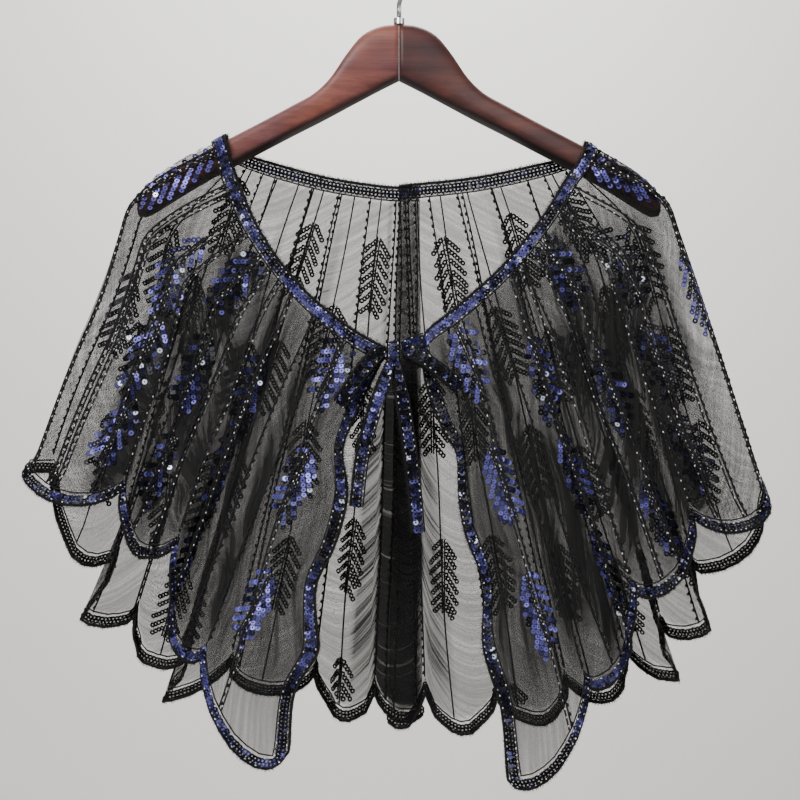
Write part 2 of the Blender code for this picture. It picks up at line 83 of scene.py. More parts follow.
# The net is denser just below the neck tape: partly the neck's gathers, partly a painted shadow under the
# tape
GATHER_AND_SHADOW_LENGTH = 16.0  # down which the gathers of the neck fade
GATHER_AND_SHADOW_HEIGHT = 0.35
STRETCH = 0.5  # how thin the net is beside the shoulders
STRETCH_REACH = 0.6  # gores over which that fades
STRETCH_FULL = 0.6  # share of the way down from where it is as thin as that
BUNCH_FADE = 0.12
BUNCH_EDGE = (0.75, 1.1)  # where a bunch's sides begin and end to fade, in its half widths
TAPE_THIN = 1.0  # how thin the net looks under the tapes
TAPE_FADE = (0.7, 1.1)  # where it begins and ends to show past them, in their widths
RIPPLES = ((2.3, 0.7, 0.9), (3.9, 2.1, 0.6), (6.1, 4.4, 0.35))  # waves in a gore, phase, height
RELIEF_START = 0.06  # share of the way down where ripples and creases begin
RELIEF_START_ON_ARM = 0.22  # added to it over the hanger's arms
RELIEF_FADE = 0.22
CREASE_FADE = 0.16

# Sequins, beads, knots and threads
SEQUIN_RADIUS = 2.2
SEQUIN_HOLE = 0.72
SEQUIN_SIDES = 8
SEQUIN_THICKNESS = 0.2
SEQUIN_PITCH = 3.0
SEQUIN_LIFT = 0.45  # from what a sequin lies on up to its middle
SEQUIN_JITTER = 0.15
SHINGLE = 9.0  # degrees that a sequin leans on the one before it
BEAD_RADIUS = 0.54
BEAD_STRETCH = 1.75  # along its thread
BEAD_SIDES = 6
BEAD_RINGS = ((0.9, -0.42), (0.88, 0.42))  # radius and height, in bead radii
BEAD_TOP = 1.0
BEAD_FOOT = -3.1  # the stitch, seen inside the net
BEAD_JITTER = 0.12
THREAD_RADIUS = 0.72
LINE_BEAD_PITCH = 6.2
LINE_BEAD_STRAY = 0.15
# Tints of the line beads; the pale ones are painted highlights
LINE_BEAD_TINTS = (0.2, 1.0)
LINE_PAIR_GAP = 3.2  # from a bead line to the thread line beside it
LINE_POINTS = 60
LINE_SWAY = 1.6
LINE_SWAY_RATES = (7, 11)  # its waves down the cloth, and where they start
LINE_SWAY_STARTS = (0, 6)
EXTRA_LINES = [1.3, 2.3, 3.5, 5.6, 7.1, 8.1, 10.18, 10.66]  # gores of lines beside those at the cusps
BEADED_LINES = [2.0, 2.3, 3.0, 3.5]
KNOT_PITCH = 6.5  # between the knots of a plain line
KNOT_RADIUS = 1.0
KNOT_ASIDE = 0.9

# A leaf: rows of sequins that slant down and outward from a spine of beads
LEAF_ROWS = (5, 6, 6, 6, 6, 5, 4)  # sequins in each row, from the top
LEAF_ROW_STEP = 8.4
LEAF_ROW_STRAY = 0.8
LEAF_SLANT = 48.0  # degrees below level, and how far from it a side may be
LEAF_SLANT_STRAY = 5
LEAF_LEAN = (-6.0, 14.0)  # degrees that a leaf leans away from the front edge, least and most
LEAF_THINNED = 0.3  # share of a leaf's rows that are one sequin short
LEAF_MARGIN = 0.012
LEAF_SPINE_GAP = 3.8  # from the spine to a row's first sequin
SPINE_BEADS = ((-1.5, 0.0), (1.5, 1.3), (0.0, 2.6))  # across and down, repeated along the spine
SPINE_BEAD_STRAY = 0.4
SPINE_STEP = 3.9
SPINE_THREADS = (-1.0, 1.0)
SPINE_POINTS = 12

# How blue sequins look, from 0 to 1, and how far rows, single sequins and stretches of a tape stray from it
TINT_ROW = 0.16
TINT_SEQUIN = 0.12
TINT_TAPE = 0.22
TINT_PATCH = 26.0  # length of a stretch of like sequins
TINT_BLUEST = 0.93
# Share of sequins painted white: painted highlights
PAINTED_FLASH_SHARE = 0.012
KNOT_BLUE = 0.72

# The tapes. Shares are of a tape's width, from its free edge.
TAPE_LIFT = 1.5  # from the middle of the solid's wall out to the middle of the tape
TAPE_SHARES = (0.0, 0.2, 0.39, 0.66, 0.88, 0.91, 0.95, 0.97, 1.0)
HEM_SHARES = (0.0, 0.18, 0.33, 0.56, 0.72, 0.765, 0.91, 0.94, 1.0)  # where they lie in the hem's tape
MEASURED = 4  # the place in these shares of the line that gives a tape's length
TAPE_BEADS = (0.2, 0.88)
TAPE_BEAD_PITCH = 4.6
TAPE_SEQUINS = (0.39, 0.66)
TAPE_SEQUIN_PITCH = 2.95
TAPE_GAP = (0.9, 0.96)  # between these shares the ground can be open
TAPE_ALPHA = (0.36, 0.03)  # the tape's ground, closed and open
CORD_SHARE = 0.985
CORD_RADIUS = 0.55
FUZZ_PITCH = 0.42
FUZZ_LENGTH = 2.5
FUZZ_RADIUS = 0.07  # in fibre lengths
FUZZ_RISE = 0.6
FUZZ_STRAY = 0.45
FUZZ_REACH = 0.9
FUZZ_TURN = 0.01  # keeps a fibre's side from lying along it
OVERLOCK_PITCH = 1.3
OVERLOCK_RADIUS = 1.25
OVERLOCK_THREAD = 0.4
OVERLOCK_TURN_POINTS = 5
OVERLOCK_UNEVEN = 0.22
OVERLOCK_INSET = 0.7
OVERLOCK_CORE = 1.1
HEM_START_GAP = 0.02
EDGE_POINTS = 90
CORNER_POINTS = 4

# How open a tape's gap is, how blue its sequins are, and the look of their backs, seen from inside
TapeStyle = namedtuple("TapeStyle", "gap blue inside")
NECK_STYLE = TapeStyle(gap=0.0, blue=0.72, inside="sequin")
EDGE_STYLE = TapeStyle(gap=1.0, blue=0.6, inside="thread")
TAIL_STYLE = TapeStyle(gap=0.0, blue=0.68, inside="thread")
LOOP_STYLE = TapeStyle(gap=0.0, blue=0.44, inside="thread")

# Hanger, hook and bow
SECTION_POINTS = 32
STATIONS_PER_SPAN = 4
HANGER_SQUARENESS = 3.2
UNDERSIDE_RISE = 4.0
UNDERSIDE_DROP = 3.5
ARM_JOINT = 0.1  # the gap between the two arms at the middle
TIP_ROUND = ((0.5, 0.88), (0.9, 0.6))  # how far past the last section, and the size of the section there
HOOK_RADIUS = 19.0
HOOK_WIRE = 3.6
HOOK_TIP_ANGLE = 200.0
HOOK_NECK_ANGLE = -45.0
HOOK_STEPS = 60
HOOK_SIDES = 20
FERRULE_HEIGHT = 4.5
RIBBON_WIDTH = 10.0
RIBBON_PINCH = 0.5
RIBBON_LOOK = 0.05
LOOP_STEPS = 48
TAIL_STEPS = 32
STRAP_STEPS = 8
KNOT_SIZE = (11.0, 10.4, 13.0)
KNOT_AT = (-4.0, -37.6, -310.0)
KNOT_SQUARENESS = 3.0
KNOT_END = 0.02
KNOT_WRAPS = 3
KNOT_GROOVE = 0.5
KNOT_GROOVE_SHARPNESS = 8
KNOT_RINGS = 20
KNOT_SIDES = 40
KNOT_ROWS = ((-0.55, True), (-0.2, False), (0.2, False), (0.55, True))  # where on it, and whether of beads
KNOT_BEAD_PITCH = 2.6
KNOT_FRONT = 0.35  # sequins lie where the knot faces forward of this

# Light, camera and backdrop, in metres
WORLD_STRENGTH = 0.3
CAMERA_AT = (0.00076, -1.0, -0.3454)
CAMERA_LENS = 59.4
WALL_COLOR = (0.8, 0.785, 0.76)


def named(row_type, *rows):
    """A table whose rows name their columns."""
    return tuple(row_type(*row) for row in rows)


# Sections of one hanger arm, from the middle to the tip: distance out, top, bottom, middle of its depth and
# half of its depth.
ArmSection = namedtuple("ArmSection", "out top bottom depth half_depth")
HANGER_ARM = named(
    ArmSection,
    (0, -60, -101, 5, 8), (14, -61.5, -108, 5, 8), (28, -68.5, -115.5, 4.6, 8), (40, -83, -122, 4, 8),
    (52, -101, -128.5, 3, 8), (64, -113, -135, 1.6, 8), (78, -121.5, -142.5, -0.4, 8),
    (104, -136.5, -157, -4.4, 8), (130, -151, -171.5, -8.2, 8), (156, -166, -187, -11.4, 8),
    (176, -179, -200, -13.4, 7.8), (188, -190, -207, -14.6, 6.6), (194, -198, -206.5, -15.2, 4),
)

# The neck line of each half. "at" is 0 at the front corner, 1 on the hanger and 2 at the centre back.
NeckPoint = namedtuple("NeckPoint", "at x y z")
NECK_LEFT = named(
    NeckPoint,
    (0, -8, -30, -308), (0.2, -40, -28.5, -289), (0.45, -75, -26.5, -258), (0.7, -102, -24, -221),
    (0.88, -118, -21, -186), (0.96, -126.5, -18, -160), (1, -129, -8, -149), (1.04, -127.5, 0, -152),
    (1.12, -120, 9, -156), (1.3, -104, 13, -161), (1.62, -56, 15.5, -173.5), (1.92, -11, 18.5, -180),
    (2.2, 16, 19.5, -180.5),
)
NECK_RIGHT = named(
    NeckPoint,
    (0, 17, -30, -307), (0.05, 20, -29.8, -295), (0.2, 42, -28.5, -277), (0.45, 79, -26, -243),
    (0.7, 108, -24, -207), (0.88, 124, -21, -181), (0.96, 135.5, -18, -165), (1, 139, -8, -155),
    (1.04, 138, 0, -157.5), (1.12, 130, 9, -159.5), (1.3, 112, 13, -163), (1.62, 60, 15, -173.5),
    (2, 0, 15.5, -180),
)

# Each row is a fold line from the neck to the hem. Scallops meet at whole gore numbers, counted from the
# front edge. "swing" is how far the hem there hangs over its neighbours, sideways.
FoldLine = namedtuple("FoldLine", "gore at swing hem_x hem_y hem_z")
FOLDS_LEFT = named(
    FoldLine,
    (0, 0, 0, -80, -40, -600), (0.13, 0.055, 0, -91, -43, -598), (0.5, 0.14, 0, -114, -50, -571),
    (1, 0.27, 0, -142, -40, -532), (1.5, 0.38, -5, -155, -22, -497), (2, 0.5, 4, -168, -40, -452),
    (2.5, 0.61, -5, -181, -22, -436), (3, 0.72, 3, -206, -38, -411), (3.5, 0.86, 0, -244, -25, -399),
    (3.72, 0.96, 0, -268, -12, -388), (3.8, 1, 0, -274, 0, -385), (3.88, 1.04, 0, -273, 9, -389),
    (4.1, 1.1, 0, -262, 17, -403), (4.5, 1.16, 0, -241, 11, -443), (5, 1.24, 5, -226, 31, -465),
    (5.5, 1.32, -16, -216, 5, -489), (6, 1.4, 4, -208, 24, -511), (6.5, 1.48, 0, -194, 37, -529),
    (7, 1.56, 6, -172, 27, -543), (7.5, 1.64, -16, -156, 4, -551), (8, 1.71, 4, -134, 13, -549),
    (8.5, 1.78, 0, -98, 31, -552), (9, 1.85, 0, -66, 24, -556), (9.5, 1.91, 0, -42, 12, -567),
    (10, 1.99, 0, -18, 27, -572), (10.4, 2.1, 0, 2, 34, -574), (10.8, 2.2, 0, 18, 31, -573),
)
FOLDS_RIGHT = named(
    FoldLine,
    (0, 0, 0, 79, -42, -620), (0.13, 0.055, 0, 88, -45, -612), (0.5, 0.14, 0, 108, -51, -587),
    (1, 0.27, 0, 136, -40, -552), (1.5, 0.38, 5, 155, -23, -516), (2, 0.5, -4, 175, -42, -483),
    (2.5, 0.61, 6, 192, -23, -456), (3, 0.72, -4, 219, -39, -431), (3.5, 0.86, 0, 246, -24, -420),
    (3.92, 0.96, 0, 271, -12, -416), (4, 1, 0, 275, 0, -415), (4.08, 1.04, 0, 274, 9, -417),
    (4.5, 1.12, 0, 262, 22, -442), (5, 1.22, -5, 236, 32, -475), (5.5, 1.31, 9, 219, 4, -497),
    (6, 1.4, -5, 210, 27, -522), (6.5, 1.48, 9, 196, 6, -536), (7, 1.56, -5, 184, 30, -544),
    (7.5, 1.64, 0, 158, 11, -552), (8, 1.71, 0, 132, 29, -566), (8.5, 1.78, 0, 107, 10, -570),
    (9, 1.85, 0, 76, 27, -577), (9.5, 1.91, 0, 46, 12, -578), (10, 1.95, 0, 20, 19, -571),
    (10.4, 1.975, 0, 6, 17, -574), (10.8, 2, 0, -8, 17, -575),
)

# The stepped front edge: share of the way down, and where the edge is there.
LinePoint = namedtuple("LinePoint", "down x y z")
EDGE_LEFT = named(
    LinePoint,
    (0, -8, -30, -308), (0.18, -33, -32, -360), (0.26, -41, -33, -382), (0.37, -37.5, -34, -415),
    (0.49, -46.5, -35, -451), (0.59, -60.5, -36, -480), (0.7, -60, -37, -511), (0.77, -59, -37, -529),
    (0.86, -76, -38, -556), (1, -80, -40, -600),
)
EDGE_RIGHT = named(
    LinePoint,
    (0, 17, -30, -307), (0.1, 20, -31, -335), (0.2, 33, -32, -369), (0.28, 43, -33, -386),
    (0.37, 44.5, -34, -418), (0.45, 49, -35, -444), (0.58, 62.5, -36, -481), (0.7, 61.5, -37, -522),
    (0.77, 65.5, -38, -540), (0.86, 75, -40, -570), (1, 79, -42, -620),
)

# The shoulder line over the arm's tip and down the side, as the front edge's table. On the arm it is the
# arm's top, so there only its distance out counts.
SHOULDER_LEFT = named(
    LinePoint,
    (0, -129, -8, -149), (0.11, -156, -11.4, -164.8), (0.2, -180.5, -13.8, -181),
    (0.276, -199.5, -15, -198), (0.34, -207, -13.5, -217), (0.5, -223, -9, -260),
    (0.7, -244.5, -4.5, -309), (1, -274, 0, -385),
)
SHOULDER_RIGHT = named(
    LinePoint,
    (0, 139, -8, -155), (0.1, 160, -12, -168.6), (0.2, 182, -14, -182.4), (0.27, 199.5, -15, -198.5),
    (0.33, 207, -13.5, -218), (0.5, 225, -9, -269), (0.7, 245, -4.5, -326), (1, 275, 0, -415),
)

# The end of the hook's wire, from the bend down to the ferrule. "back" is the share of the way back from the
# hook's plane to the middle of the wood.
NeckStep = namedtuple("NeckStep", "x back above_ferrule")
HOOK_NECK = named(
    NeckStep,
    (2, 0.4, 16.1), (0, 0.9, 10.7), (0, 1, 6), (0, 1, 0),
)

# Middle lines of the bow's ribbons: x, y and z of each point, from the knot on.
RibbonStep = namedtuple("RibbonStep", "step x y z")
LOOP_LEFT = (
    (-11.5, -41, -308.3), (-16, -44.5, -312), (-26, -46.5, -323), (-37, -45.5, -339),
    (-43, -41.5, -347.5), (-38, -37.5, -341), (-28, -35.8, -327), (-18, -35.2, -317),
    (-11.6, -35.6, -312.5),
)
LOOP_RIGHT = (
    (3.2, -41, -308.3), (9, -44.5, -310.5), (22, -46.5, -318), (36, -45.5, -329), (43.5, -41.5, -335),
    (38, -37.5, -331), (26, -35.8, -321), (12, -35.2, -314.5), (3.2, -35.6, -311.5),
)
TAIL_LEFT = (
    (-6, -41.2, -317.5), (-11, -41.5, -333), (-20, -41, -360), (-27, -40, -388), (-31, -39.5, -423),
)
TAIL_RIGHT = (
    (-2, -38.6, -317.3), (2.5, -39, -345), (7, -39, -375), (11, -38.5, -408), (14, -38, -442),
)
TIE_RIGHT = (
    (2.2, -35.8, -306), (9, -34, -304), (19, -33.3, -301),
)

# Creases in the net, raised or sunk: the gore at its top, how far down it starts and ends, its height (below
# 0 if it is sunk), its width in gores and how far it leans across on its way.
Crease = namedtuple("Crease", "gore top bottom height width lean")
CREASES_LEFT = named(
    Crease,
    (0.42, 0.2, 0.72, 1.8, 0.07, 0.1), (0.95, 0.05, 0.55, -1.6, 0.08, 0.05),
    (1.3, 0.3, 0.95, 2.2, 0.06, -0.1), (2.15, 0.18, 0.8, -2, 0.07, 0.12),
    (2.75, 0.35, 0.98, 1.7, 0.05, -0.06), (3.35, 0.45, 0.9, -1.8, 0.06, 0.05),
    (4.35, 0.42, 0.96, 2, 0.07, -0.1), (5.2, 0.22, 0.74, -2.3, 0.06, 0.08),
    (5.85, 0.4, 1, 1.9, 0.06, 0), (6.7, 0.16, 0.66, 1.6, 0.07, 0.1),
    (7.25, 0.48, 0.97, -2.1, 0.05, -0.06), (8.2, 0.2, 0.85, 1.8, 0.08, 0.06),
    (8.85, 0.35, 0.92, -1.7, 0.06, 0.04), (9.75, 0.12, 0.7, 1.5, 0.06, -0.08),
)
CREASES_RIGHT = named(
    Crease,
    (0.38, 0.25, 0.8, -1.7, 0.07, 0.08), (1.05, 0.08, 0.6, 1.8, 0.07, 0.06),
    (1.45, 0.35, 0.96, -2, 0.06, -0.08), (2.25, 0.15, 0.75, 2.1, 0.07, 0.1),
    (2.85, 0.4, 0.98, -1.6, 0.05, -0.05), (3.45, 0.45, 0.88, 1.9, 0.06, 0.06),
    (4.55, 0.42, 0.97, -1.9, 0.07, 0.08), (5.25, 0.2, 0.7, 2.2, 0.06, -0.06),
    (6.1, 0.3, 0.9, -1.8, 0.07, 0.1), (6.75, 0.5, 1, 1.7, 0.05, 0), (7.6, 0.15, 0.62, -2, 0.07, 0.05),
    (8.3, 0.38, 0.95, 1.8, 0.06, -0.1), (9.2, 0.18, 0.8, -1.6, 0.06, 0.06),
    (9.85, 0.3, 0.9, 1.6, 0.05, 0.04),
)

# Where the net lies in tight, dark folds, or is stretched thin: the gore, how far down that starts and ends,
# how tight it is (thin is below 0) and its half width in gores.
Bunch = namedtuple("Bunch", "gore top bottom height width")
BUNCHES_LEFT = named(
    Bunch,
    (1.9, 0.02, 0.98, 0.62, 1.25), (0.35, 0.02, 0.92, 0.58, 0.45), (0.62, 0.05, 0.7, 0.75, 0.14),
    (1.1, 0.12, 0.95, 0.95, 0.15), (1.72, 0.1, 1.02, 0.95, 0.17), (2.15, 0.25, 0.98, 1.05, 0.12),
    (2.62, 0, 1.02, 1, 0.22), (3.12, 0.3, 1.04, 1.1, 0.2), (3.5, -0.1, 0.18, -0.8, 0.45),
    (5.2, 0.3, 0.95, 0.7, 0.16), (6.6, 0.15, 0.85, 0.6, 0.14), (7.4, 0.45, 1, 0.7, 0.12),
    (8.2, 0.1, 0.75, 0.5, 0.14), (9.75, 0.38, 1.02, 0.75, 0.25), (9.9, 0.02, 0.85, 0.6, 0.07),
    (10.45, 0, 0.42, 0.6, 0.38), (10.35, 0.32, 1.1, 1.2, 0.45),
)
BUNCHES_RIGHT = named(
    Bunch,
    (1.95, 0.02, 0.98, 0.64, 1.3), (0.35, 0.02, 0.92, 0.75, 0.45), (0.66, 0.05, 0.66, 0.75, 0.13),
    (1.05, 0.1, 0.92, 0.95, 0.14), (1.45, 0.4, 1.06, 1.1, 0.2), (1.78, 0.12, 0.75, 0.85, 0.13),
    (2.18, 0.22, 0.95, 1, 0.14), (2.6, 0, 1, 1, 0.2), (3.05, 0.28, 1.04, 1.1, 0.22),
    (3.36, 0.24, 0.68, 0.8, 0.36), (3.68, -0.1, 0.18, -0.8, 0.45), (5.6, 0.25, 0.95, 0.65, 0.15),
    (7.2, 0.1, 0.85, 0.6, 0.14), (8.4, 0.2, 0.85, 0.5, 0.14), (9.8, 0.38, 1.02, 0.7, 0.2),
    (9.9, 0.02, 0.85, 0.6, 0.07), (10.45, 0, 0.42, 0.6, 0.38), (10.35, 0.32, 0.85, 1.1, 0.45),
)

# Leaves stand one under the other, each file on a bead line: its gore, how far down the first leaf's middle
# is, the share from one leaf to the next, how many there are and how blue they look, from 0 to 1.
LeafFile = namedtuple("LeafFile", "gore first step count blue")
LEAVES_LEFT = named(
    LeafFile,
    (0.68, 0.11, 0.325, 3, 0.83), (1.76, 0.39, 0.27, 3, 0.49), (2.64, 0.14, 0.35, 3, 0.59),
    (3.22, 0.29, 0.27, 3, 0.64), (3.55, 0.49, 0.24, 1, 0.2), (3.74, 0.15, 0.33, 1, 0.84),
    (4.5, 0.34, 0.24, 3, 0.34), (5.2, 0.15, 0.24, 4, 0.44), (5.95, 0.29, 0.24, 3, 0.34),
    (6.65, 0.44, 0.24, 3, 0.44), (7.36, 0.17, 0.24, 4, 0.39), (8.4, 0.33, 0.24, 3, 0.44),
    (9.42, 0.18, 0.28, 4, 0.39),
)
LEAVES_RIGHT = named(
    LeafFile,
    (0.71, 0.12, 0.315, 3, 0.83), (1.72, 0.33, 0.27, 3, 0.59), (2.58, 0.15, 0.38, 3, 0.54),
    (3.2, 0.29, 0.27, 3, 0.44), (3.94, 0.14, 0.33, 2, 0.74), (4.65, 0.34, 0.24, 3, 0.34),
    (5.35, 0.16, 0.24, 4, 0.44), (6.1, 0.42, 0.24, 3, 0.34), (6.84, 0.16, 0.24, 4, 0.39),
    (7.75, 0.33, 0.24, 3, 0.44), (8.78, 0.18, 0.29, 4, 0.39), (9.6, 0.45, 0.31, 2, 0.44),
)


def row_at(rows, key):
    """The row at one value of a table's first column, on the smooth curve through the table's rows."""
    i = min(max(bisect_right([row[0] for row in rows], key) - 1, 0), len(rows) - 2)
    here, there = rows[i], rows[i + 1]
    before = rows[i - 1] if i > 0 else None
    after = rows[i + 2] if i + 2 < len(rows) else None
    span = there[0] - here[0]
    f = (key - here[0]) / span
    values = []
    for column in range(1, len(here)):
        a, b = here[column], there[column]
        chord = (b - a) / span
        slope_a = (b - before[column]) / (there[0] - before[0]) if before else chord
        slope_b = (after[column] - a) / (after[0] - here[0]) if after else chord
        bend = f * (1 - f) * ((1 - f) * (slope_a - chord) - f * (slope_b - chord)) * span
        values.append(a + (b - a) * f + bend)
    return type(here)(key, *values)


def place_of(row):
    return Vector((row.x, row.y, row.z))


def arm_section(out):
    """The arm's section at a distance from the middle."""
    return row_at(HANGER_ARM, min(abs(out), HANGER_ARM[-1].out))


def over_arm(point, side):
    """The point on the cloth that lies over an arm: side is -1 in front of it, 1 behind it, 0 on its top."""
    end_of_wrap = HANGER_ARM[-1].out + HANGER_CLEARANCE + WALL
    past_start = (abs(point.x) - end_of_wrap) / TIP_WRAP + 1
    arm = arm_section(point.x)
    crest = arm.top + HANGER_CLEARANCE
    if past_start >= 1 or point.z < arm.bottom - ARCH_DROP:
        return point
    if side == 0:
        return Vector((point.x, arm.depth, crest))
    below = min(max((crest - point.z) / ARCH_DROP, 0.0), 1.0)
    arch = math.sqrt(1 - (1 - below) ** 2)
    wrap = math.sqrt(1 - max(past_start, 0.0) ** 2)
    stand_off = (arm.half_depth + HANGER_CLEARANCE) * arch * wrap
    y = arm.depth + side * max(stand_off, side * (point.y - arm.depth))
    return Vector((point.x, y, min(point.z, crest)))


def scallop(gore):
    """How far below its cusps a scallop reaches, from 0 to 1."""
    across = 2 * (np.asarray(gore) % 1.0) - 1
    return np.maximum(0.0, 1 - across * across) ** SCALLOP_ROUNDNESS


class Half:
    """One half of the capelet: the panel from the front edge, over the shoulder, to the centre back."""

    def __init__(self, neck, folds, edge, shoulder, facing):
        self.neck = neck
        self.folds = folds
        self.edge = edge
        self.shoulder = shoulder
        self.facing = facing
        self.last_gore = folds[-1].gore
        self.tape_gore = folds[1].gore
        self.shoulder_gore = next(fold.gore for fold in folds if fold.at == 1.0)

    def rib_ends(self, gore):
        """Where a line of the cloth starts at the neck and ends level with the cusps, and its swing."""
        fold = row_at(self.folds, gore)
        start = place_of(row_at(self.neck, fold.at))
        return start, Vector((fold.hem_x, fold.hem_y, fold.hem_z)), fold.swing

    def drift(self, line, down, weight):
        """How far a named line of the cloth leaves the straight way down, by its weight there."""
        straight = place_of(line[0]).lerp(place_of(line[-1]), down)
        return (place_of(row_at(line, down)) - straight) * weight

    def point(self, gore, down):
        """The middle of the cloth: down is 0 at the neck and 1 on the line through the scallops' cusps."""
        start, hem, swing = self.rib_ends(gore)
        place = start.lerp(hem, down)
        place.y = start.y + (hem.y - start.y) * down**FOLD_ONSET
        place.x += swing * down**SWING_ONSET
        near_edge = max(0.0, 1 - gore / EDGE_REACH) ** 2
        near_shoulder = math.exp(-(((gore - self.shoulder_gore) / SHOULDER_REACH) ** 2))
        if down < 1:
            place += self.drift(self.edge, down, near_edge)
            place += self.drift(self.shoulder, down, near_shoulder)
        side = 0 if gore == self.shoulder_gore else math.copysign(1, gore - self.shoulder_gore)
        return over_arm(place, side)

    def length(self, gore):
        start, hem, _ = self.rib_ends(gore)
        return (hem - start).length

    def hem_share(self, gore):
        """How far down the hem is, past 1 inside a scallop."""
        return 1 + SCALLOP_DEPTH * scallop(gore) / self.length(gore)

    def columns(self):
        """Gores of the net's columns, crowded towards the cusps and beside the shoulder line."""
        near = {self.shoulder_gore + side * step for step in SHOULDER_STEPS for side in (-1, 1)}
        columns = near | {self.shoulder_gore, self.last_gore, self.tape_gore}
        for k in range(int(self.last_gore) + 1):
            for i in range(NET_COLUMNS):
                gore = k + (1 - math.cos(math.pi * i / NET_COLUMNS)) / 2
                clear_of_shoulder = abs(gore - self.shoulder_gore) > SHOULDER_STEPS[-1]
                clear_of_tape = abs(gore - self.tape_gore) > HEM_START_GAP
                if gore < self.last_gore and clear_of_shoulder and clear_of_tape:
                    columns.add(gore)
        return sorted(columns)


LEFT = Half(NECK_LEFT, FOLDS_LEFT, EDGE_LEFT, SHOULDER_LEFT, -1)
RIGHT = Half(NECK_RIGHT, FOLDS_RIGHT, EDGE_RIGHT, SHOULDER_RIGHT, 1)


rng = np.random.default_rng(SEED)


def unit(vectors):
    return vectors / np.maximum(np.linalg.norm(vectors, axis=-1, keepdims=True), 1e-9)


def smooth_step(values, low, high):
    share = np.clip((values - low) / (high - low), 0.0, 1.0)
    return share * share * (3 - 2 * share)


def along_line(points):
    """How far along a line each of its points is."""
    return np.concatenate([[0.0], np.cumsum(np.linalg.norm(np.diff(points, axis=0), axis=1))])


def evenly(pitch, points, *others):
    """A line read at an even pitch, with other vectors of the line read at the same places."""
    far = along_line(points)
    count = max(int(far[-1] / pitch), 1)
    at = (np.arange(count) + 0.5) * far[-1] / count
    every = (points, *others)
    return [np.stack([np.interp(at, far, row) for row in vectors.T], axis=1) for vectors in every]


def spaced(pitch, line, outward):
    """Places at a pitch along a line, with the outward and the onward direction there."""
    return evenly(pitch, line, outward, np.gradient(line, axis=0))


class Panel:
    """A half's net as a grid of points, with its outward directions, that can be read between them."""

    def __init__(self, half, creases):
        self.half = half
        self.gores = np.array(half.columns())
        self.hems = np.array([half.hem_share(gore) for gore in self.gores])
        self.lengths = np.array([half.length(gore) for gore in self.gores])
        self.downs = self.hems[:, None] * np.arange(NET_ROWS + 1) / NET_ROWS
        columns = zip(self.gores, self.downs)
        plain = np.array([[half.point(gore, down) for down in downs] for gore, downs in columns])
        self.points = plain + self.outward_of(plain) * self.relief(creases)[..., None]
        self.outward = self.outward_of(self.points)
        steps = np.linalg.norm(np.diff(self.points, axis=0), axis=2)
        self.across = np.concatenate([np.zeros((1, NET_ROWS + 1)), np.cumsum(steps, axis=0)])

    def outward_of(self, points):
        return unit(np.cross(np.gradient(points, axis=1), np.gradient(points, axis=0)) * self.half.facing)

    def relief(self, creases):
        """How far the net's ripples and creases stand out of its main folds."""
        gore, down = self.gores[:, None], self.downs
        over_arm_share = np.exp(-(((gore - self.half.shoulder_gore) / SHOULDER_REACH) ** 2))
        start = RELIEF_START + RELIEF_START_ON_ARM * over_arm_share
        waves = sum(height * np.sin(2 * math.pi * rate * gore + phase) for rate, phase, height in RIPPLES)
        relief = waves * smooth_step(down, start, start + RELIEF_FADE)
        for crease in creases:
            rise = smooth_step(down, crease.top, crease.top + CREASE_FADE)
            fall = smooth_step(down, crease.bottom - CREASE_FADE, crease.bottom)
            middle = crease.gore + crease.lean * (down - crease.top)
            across = np.exp(-(((gore - middle) / crease.width) ** 2))
            relief = relief + crease.height * rise * (1 - fall) * across
        return relief

    def hem_at(self, gore):
        return 1 + SCALLOP_DEPTH * scallop(gore) / np.interp(gore, self.gores, self.lengths)

    def read(self, gore, down):
        """Places on the net with their outward and downward directions, from arrays of gores and shares."""
        gore, down = np.broadcast_arrays(np.asarray(gore, float), np.asarray(down, float))
        i = np.clip(np.searchsorted(self.gores, gore, side="right") - 1, 0, len(self.gores) - 2)
        f = (gore - self.gores[i]) / (self.gores[i + 1] - self.gores[i])
        row = np.clip(down / self.hem_at(gore) * NET_ROWS, 0, NET_ROWS - 1e-6)
        j = row.astype(int)
        h = row - j
        ends = [(a, b) for b in (0, 1) for a in (0, 1)]
        near = [(i + a, j + b, np.abs(1 - a - f) * np.abs(1 - b - h)) for a, b in ends]
        place = sum(self.points[a, b] * weight[..., None] for a, b, weight in near)
        outward = unit(sum(self.outward[a, b] * weight[..., None] for a, b, weight in near))
        downward = self.points[i, j + 1] - self.points[i, j]
        downward = unit(downward - outward * (downward * outward).sum(-1, keepdims=True))
        return place, outward, downward

    def beside(self, gore, down, across):
        """The gore that lies a distance across the cloth from a place, level with it."""
        row = int(round(min(max(down / self.hem_at(gore), 0.0), 1.0) * NET_ROWS))
        far = self.across[:, row]
        return np.interp(np.interp(gore, self.gores, far) + across, far, self.gores)

    def all_beside(self, gore, downs, acrosses):
        return np.array([self.beside(gore, down, across) for down, across in zip(downs, acrosses)])

    def line(self, gore, down, lift):
        """A line on the cloth, lifted off it, and its outward directions."""
        place, outward, _ = self.read(gore, down)
        return place + outward * lift, outward


def new_object(name, data):
    made = bpy.data.objects.new(name, data)
    bpy.context.scene.collection.objects.link(made)
    return made


def put(name, points, faces, looks, face_looks=None, smooth=True):
    """A new piece from points in millimetres, with the materials of the named looks."""
    mesh = bpy.data.meshes.new(name)
    mesh.from_pydata((np.asarray(points) * MM).tolist(), [], faces)
    for look in looks:
        mesh.materials.append(LOOKS[look])
    if face_looks is not None:
        mesh.polygons.foreach_set("material_index", face_looks)
    mesh.polygons.foreach_set("use_smooth", [smooth] * len(mesh.polygons))
    mesh.update()
    piece = new_object(name, mesh)
    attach(piece, "root")
    return piece


def thicken(piece, wall):
    shell = piece.modifiers.new("shell", "SOLIDIFY")
    shell.thickness = wall * MM
    shell.offset = 0.0
    return shell


def point_values(piece, name, values):
    piece.data.attributes.new(name, "FLOAT", "POINT").data.foreach_set("value", np.ravel(values))


